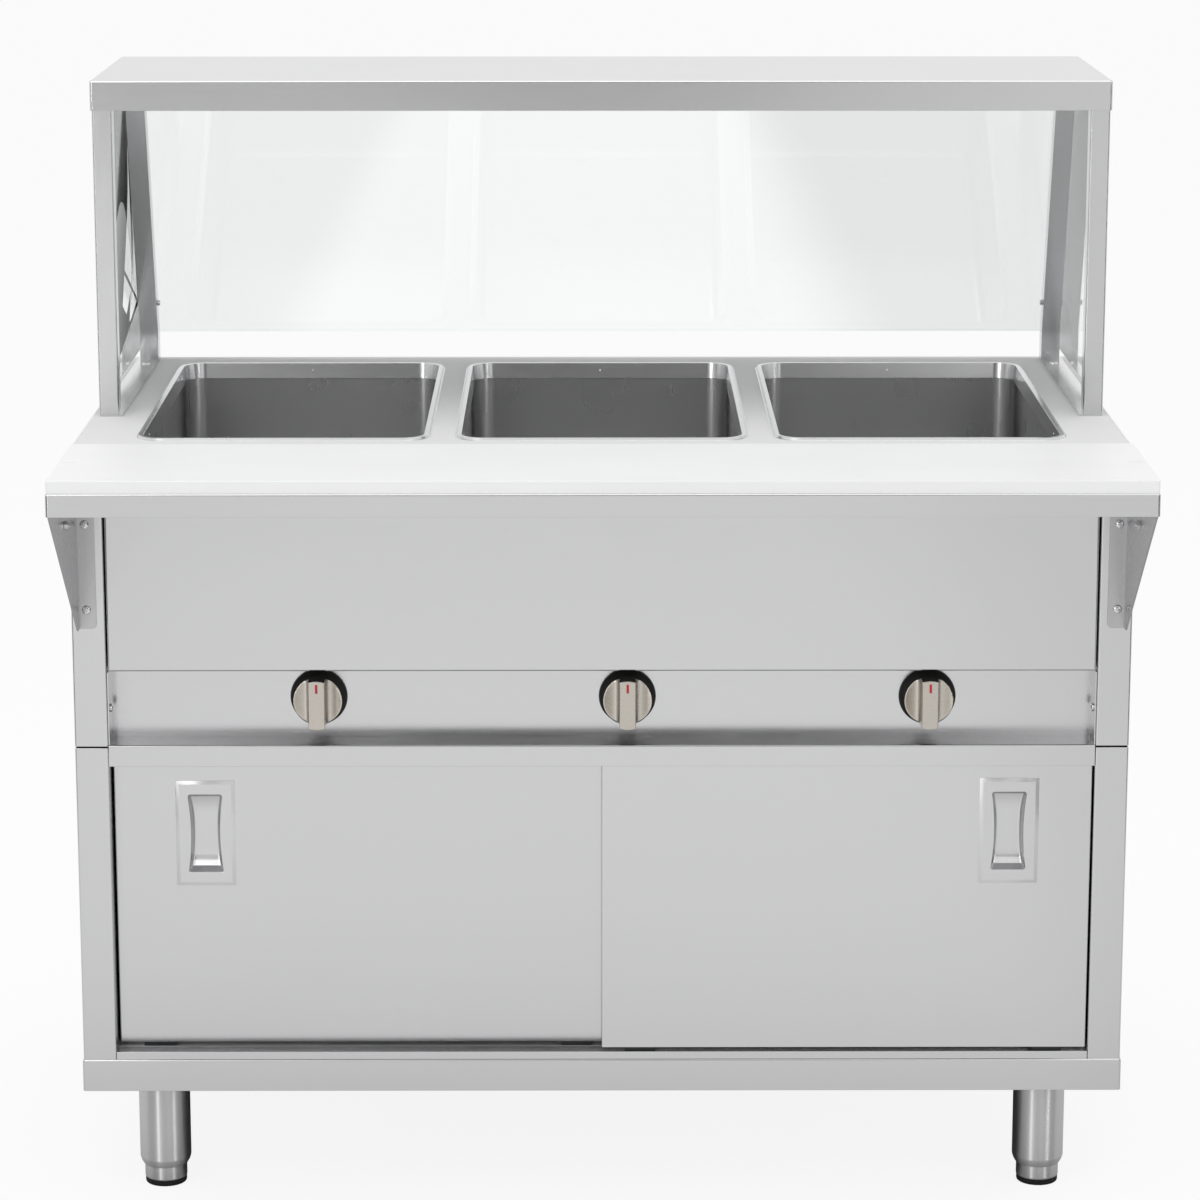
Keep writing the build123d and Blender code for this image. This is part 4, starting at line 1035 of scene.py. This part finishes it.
def build_fasteners():
    """Screws of brackets, panel flanges and strips, and the bolts through the rear posts."""
    deck_low, deck_high, _ = node_box("deck")
    front, top = deck_low.y, deck_high.z - sizes().rim_height
    bracket_y = node_box("upper_side_right")[0].y - 2 * MM
    shelf_x = node_box("front_shelf")[1].x - 1.5 * MM
    shelf_y = front - SHELF_SCREW_FRONT
    panel_x = node_box("control_panel")[1].x - SHEET
    panel_y = node_box("knob_bezels")[1].y - PANEL_SCREW_FRONT
    both, quarter = (-1, 1), math.pi / 2
    spots = {
        BRACKET_GRIP: [((side * BRACKET_SCREW_X, bracket_y, top - drop), FACING_FRONT)
                       for side in both for drop in BRACKET_SCREW_DROPS]
        + [((side * STRIP_SCREW_X, front + STRIP_SCREW_BACK, top + 2 * MM), (0, 0, 0)) for side in both],
        SHELF_GRIP: [((side * shelf_x, shelf_y, top - SHELF_SCREW_DROP), (0, side * quarter, 0))
                     for side in both],
        PANEL_GRIP: [((side * panel_x, panel_y, top - PANEL_SCREW_DROP), (0, -side * quarter, 0))
                     for side in both],
    }
    groups = []
    for grip, places in spots.items():
        shape = screw_shape(grip * MM)
        groups.append(placed("screws", shape, places, "fastener_steel", 1.2))
        dropped(shape)
    screws = joined("screws_piece", *groups)
    dress(shaded(screws, 30), "fastener_steel", node="pan_head_screws")
    sheet_piece("glass_bolts", "fastener_steel", None, width=0.25 * MM)


def build_services():
    """Heating elements, insulation, switches, terminal block and gland, as the frame has them."""
    kept = {"well_insulation": "mineral_wool", "heating_elements": "tube_steel",
            "heat_switches": "dark_plastic", "terminal_block": "dark_plastic"}
    kept.update({"knob_shaft_" + n: "fastener_steel" for n in WELLS})
    for node, key in kept.items():
        slots = frame["nodes"][node].data.materials
        slots.clear()
        slots.append(material(key))
    sheet_piece("well_jackets")
    sheet_piece("supply_gland", "dark_plastic", None, width=0.3 * MM)


# ---------------------------------------------------------------- stage

def flat_mesh(name, corners, paper):
    """One flat face of the studio, in its paper."""
    mesh = bpy.data.meshes.new(name)
    mesh.from_pydata(corners, [], [tuple(range(len(corners)))])
    made = to_object(name, mesh)
    made.data.materials.append(paper)
    return made


def plain(name, shade):
    """Matt paper of the studio: a faint mottle keeps it from looking painted."""
    made, tree, surface = shader(name)
    mottle = noise(tree, own_place(tree), (1 / 3,) * 3)
    fill(tree, surface, Base_Color=tinted(tree, mottle, shade, 0.995, 1.0), Roughness=0.9,
         Specular_IOR_Level=0.0)
    return made


def lit_floor(name, shade):
    """Floor paper: near white to the camera, with the shadow on it. Metal sees it with a painted shadow near
    and under the table.
    """
    made = plain(name, shade)
    tree = made.node_tree
    kinds = {node.type: node for node in tree.nodes}
    ray = put(tree, "ShaderNodeLightPath").outputs
    x, y, _ = put(tree, "ShaderNodeSeparateXYZ", i0=own_place(tree)).outputs

    def work(kind, first, second=0.0):
        return calc(tree, kind, first, second)

    # Distances in metres beyond the table's outline on the floor, below zero inside it.
    half_wide, half_deep, middle = 0.57, 0.33, 0.1
    beside = work("SUBTRACT", work("ABSOLUTE", x), half_wide)
    ahead = work("SUBTRACT", work("ABSOLUTE", work("SUBTRACT", y, middle)), half_deep)
    away = output(tree, "ShaderNodeCombineXYZ", X=work("MAXIMUM", beside), Y=work("MAXIMUM", ahead))
    away = vector(tree, "LENGTH", i0=away)["Value"]
    under = work("MULTIPLY", work("MINIMUM", work("MAXIMUM", beside, ahead)), 3.0)
    # Painted shadow: metal sees the floor dimmed under and near the table, where the table's shadow falls.
    painted_table_shadow = work("POWER", math.e, work("DIVIDE", work("ADD", away, under), -0.45))
    level = work("MAXIMUM", work("SUBTRACT", 1.0, work("MULTIPLY", painted_table_shadow, 0.5)), 0.04)
    # Painted shade: metal sees the floor a little dimmer on both sides, as the light on a studio sweep falls
    # off.
    for side, start, stop, low in ((1, 0.5, 0.85, 0.85), (-1, 0.68, 0.9, 0.92)):
        dim = output(tree, "ShaderNodeMapRange", {"interpolation_type": "SMOOTHSTEP"}, From_Min=start,
                     From_Max=stop, To_Min=1.0, To_Max=low, Value=work("MULTIPLY", x, side))
        level = work("MULTIPLY", level, dim)
    glossy = ray["Is Glossy Ray"]
    direct = work("MAXIMUM", ray["Is Camera Ray"], ray["Is Transmission Ray"])
    share = work("MAXIMUM", work("MULTIPLY", direct, 0.88), glossy)
    painted_floor_shade = work("MULTIPLY", glossy, work("SUBTRACT", 1.0, level))
    white = output(tree, "ShaderNodeEmission", Color=WHITE, Strength=work("SUBTRACT", 1.0, painted_floor_shade))
    mix = output(tree, "ShaderNodeMixShader", i0=share, i1=kinds["BSDF_PRINCIPLED"].outputs[0], i2=white)
    fill(tree, kinds["OUTPUT_MATERIAL"], Surface=mix)
    return made


def card(name, shade, xs, ys, zs):
    """A card beside the view, seen only in reflections."""
    (x0, x1), (y0, y1), (z0, z1) = xs, ys, zs
    corners = [(x0, y0, z0), (x1, y1, z0), (x1, y1, z1), (x0, y0, z1)]
    made = flat_mesh(name, corners, plain(name + "_paper", linear(shade)))
    for ray in ("camera", "shadow", "diffuse", "transmission"):
        setattr(made, "visible_" + ray, False)


def softbox(name, place, aim, size, power):
    """A large soft lamp turned to a point on the middle line, given by its height."""
    data = bpy.data.lights.new(name, "AREA")
    data.shape = "RECTANGLE"
    data.size, data.size_y = size
    data.energy = power
    lamp = bpy.data.objects.new(name, data)
    lamp.location = place
    lamp.rotation_euler = (Vector((0, 0, aim)) - Vector(place)).to_track_quat("-Z", "Y").to_euler()
    bpy.context.scene.collection.objects.link(lamp)
    return lamp


def build_stage():
    """Floor, cards, world light, lamps and camera."""
    scene = bpy.context.scene
    flat_mesh("studio_floor", [(FLOOR_REACH * x, FLOOR_REACH * y, 0) for x, y in QUARTERS],
              lit_floor("floor_paper", finish().floor))
    for name, *rest in CARDS:
        card("card_" + name, *rest)
    world = bpy.data.worlds.new("studio")
    world.use_nodes = True
    tree = world.node_tree
    tree.nodes.clear()
    ray = put(tree, "ShaderNodeLightPath").outputs
    seen = calc(tree, "MAXIMUM", calc(tree, "MAXIMUM", ray["Is Camera Ray"], ray["Is Glossy Ray"]),
                ray["Is Transmission Ray"])
    level = output(tree, "ShaderNodeMapRange", Value=seen, To_Min=0.7, To_Max=1.0)
    light = output(tree, "ShaderNodeBackground", Color=WHITE, Strength=level)
    put(tree, "ShaderNodeOutputWorld", Surface=light)
    scene.world = world
    softbox("key", (-2.2, -3.6, 3.4), 0.7, (2.4, 1.6), 32)
    softbox("fill", (2.8, -3.0, 2.2), 0.6, (1.6, 1.6), 10)
    softbox("top", (0, -0.4, 3.6), 0.8, (3.2, 2.0), 24)
    # Two tall narrow lamps that only metal and glass show, as streaks.
    for side, place in (("left", (-2.3, -4.0, 1.1)), ("right", (3.2, -3.6, 1.1))):
        softbox("strip_" + side, place, 0.5, (0.35, 2.0), 30).visible_diffuse = False
    data = bpy.data.cameras.new("camera")
    data.lens, data.sensor_width, data.clip_end = CAMERA_LENS, 36, 100
    camera = bpy.data.objects.new("camera", data)
    camera.location = CAMERA_PLACE
    camera.rotation_euler = [math.radians(angle) for angle in CAMERA_TURN]
    scene.collection.objects.link(camera)
    scene.camera = camera
    scene.view_settings.view_transform = "Standard"


# ---------------------------------------------------------------- operators and panel

class BuildStep:
    """What every build operator shares. A builder that can't finish raises its own error."""
    bl_options = {"REGISTER", "UNDO"}

    def execute(self, context):
        self.build()
        return {"FINISHED"}


class STEAMTABLE_OT_deck(BuildStep, bpy.types.Operator):
    """Build the deck with its raised rims"""
    bl_idname = "steamtable.deck"
    bl_label = "Deck"
    build = staticmethod(build_deck)


class STEAMTABLE_OT_wells(BuildStep, bpy.types.Operator):
    """Build the three wells and their rivets"""
    bl_idname = "steamtable.wells"
    bl_label = "Wells"
    build = staticmethod(build_wells)


class STEAMTABLE_OT_sheets(BuildStep, bpy.types.Operator):
    """Build the body, shelf and track sheets"""
    bl_idname = "steamtable.sheets"
    bl_label = "Sheets"
    build = staticmethod(build_sheets)


class STEAMTABLE_OT_guard(BuildStep, bpy.types.Operator):
    """Build the posts and glass of the serving guard"""
    bl_idname = "steamtable.guard"
    bl_label = "Guard"
    build = staticmethod(build_guard)


class STEAMTABLE_OT_doors(BuildStep, bpy.types.Operator):
    """Build the sliding doors and their pulls"""
    bl_idname = "steamtable.doors"
    bl_label = "Doors"
    build = staticmethod(build_doors)


class STEAMTABLE_OT_rollers(BuildStep, bpy.types.Operator):
    """Build the rollers and their frames"""
    bl_idname = "steamtable.rollers"
    bl_label = "Rollers"
    build = staticmethod(build_rollers)


class STEAMTABLE_OT_board(BuildStep, bpy.types.Operator):
    """Build the cutting board"""
    bl_idname = "steamtable.board"
    bl_label = "Board"
    build = staticmethod(build_board)


class STEAMTABLE_OT_knobs(BuildStep, bpy.types.Operator):
    """Build the knobs and the rings behind them"""
    bl_idname = "steamtable.knobs"
    bl_label = "Knobs"
    build = staticmethod(build_knobs)


class STEAMTABLE_OT_legs(BuildStep, bpy.types.Operator):
    """Build the legs, feet and tips"""
    bl_idname = "steamtable.legs"
    bl_label = "Legs"
    build = staticmethod(build_legs)


class STEAMTABLE_OT_fasteners(BuildStep, bpy.types.Operator):
    """Build the screws and bolts"""
    bl_idname = "steamtable.fasteners"
    bl_label = "Fasteners"
    build = staticmethod(build_fasteners)


class STEAMTABLE_OT_services(BuildStep, bpy.types.Operator):
    """Finish the heating and supply pieces"""
    bl_idname = "steamtable.services"
    bl_label = "Services"
    build = staticmethod(build_services)


class STEAMTABLE_OT_stage(BuildStep, bpy.types.Operator):
    """Set up the floor, light and camera"""
    bl_idname = "steamtable.stage"
    bl_label = "Stage"
    build = staticmethod(build_stage)


OPERATORS = [
    STEAMTABLE_OT_deck,
    STEAMTABLE_OT_wells,
    STEAMTABLE_OT_sheets,
    STEAMTABLE_OT_guard,
    STEAMTABLE_OT_doors,
    STEAMTABLE_OT_rollers,
    STEAMTABLE_OT_board,
    STEAMTABLE_OT_knobs,
    STEAMTABLE_OT_legs,
    STEAMTABLE_OT_fasteners,
    STEAMTABLE_OT_services,
    STEAMTABLE_OT_stage,
]


class STEAMTABLE_PT_panel(bpy.types.Panel):
    """Sizes, finishes and build steps of the steam table."""
    bl_idname = "STEAMTABLE_PT_panel"
    bl_label = "Steam table"
    bl_space_type = "VIEW_3D"
    bl_region_type = "UI"
    bl_category = "Steam table"

    def draw(self, context):
        for group in (context.scene.steam_table_sizes, context.scene.steam_table_finish):
            box = self.layout.box()
            for key in group.__annotations__:
                box.prop(group, key)
        for step in OPERATORS:
            self.layout.operator(step.bl_idname)


CLASSES = [SteamTableSizes, SteamTableFinish, *OPERATORS, STEAMTABLE_PT_panel]


def register():
    for item in CLASSES:
        bpy.utils.register_class(item)
    bpy.types.Scene.steam_table_sizes = bpy.props.PointerProperty(type=SteamTableSizes)
    bpy.types.Scene.steam_table_finish = bpy.props.PointerProperty(type=SteamTableFinish)


def unregister():
    del bpy.types.Scene.steam_table_finish
    del bpy.types.Scene.steam_table_sizes
    for item in reversed(CLASSES):
        bpy.utils.unregister_class(item)


def main():
    register()
    for step in OPERATORS:
        group, name = step.bl_idname.split(".")
        getattr(getattr(bpy.ops, group), name)()


if __name__ == "__main__":
    main()
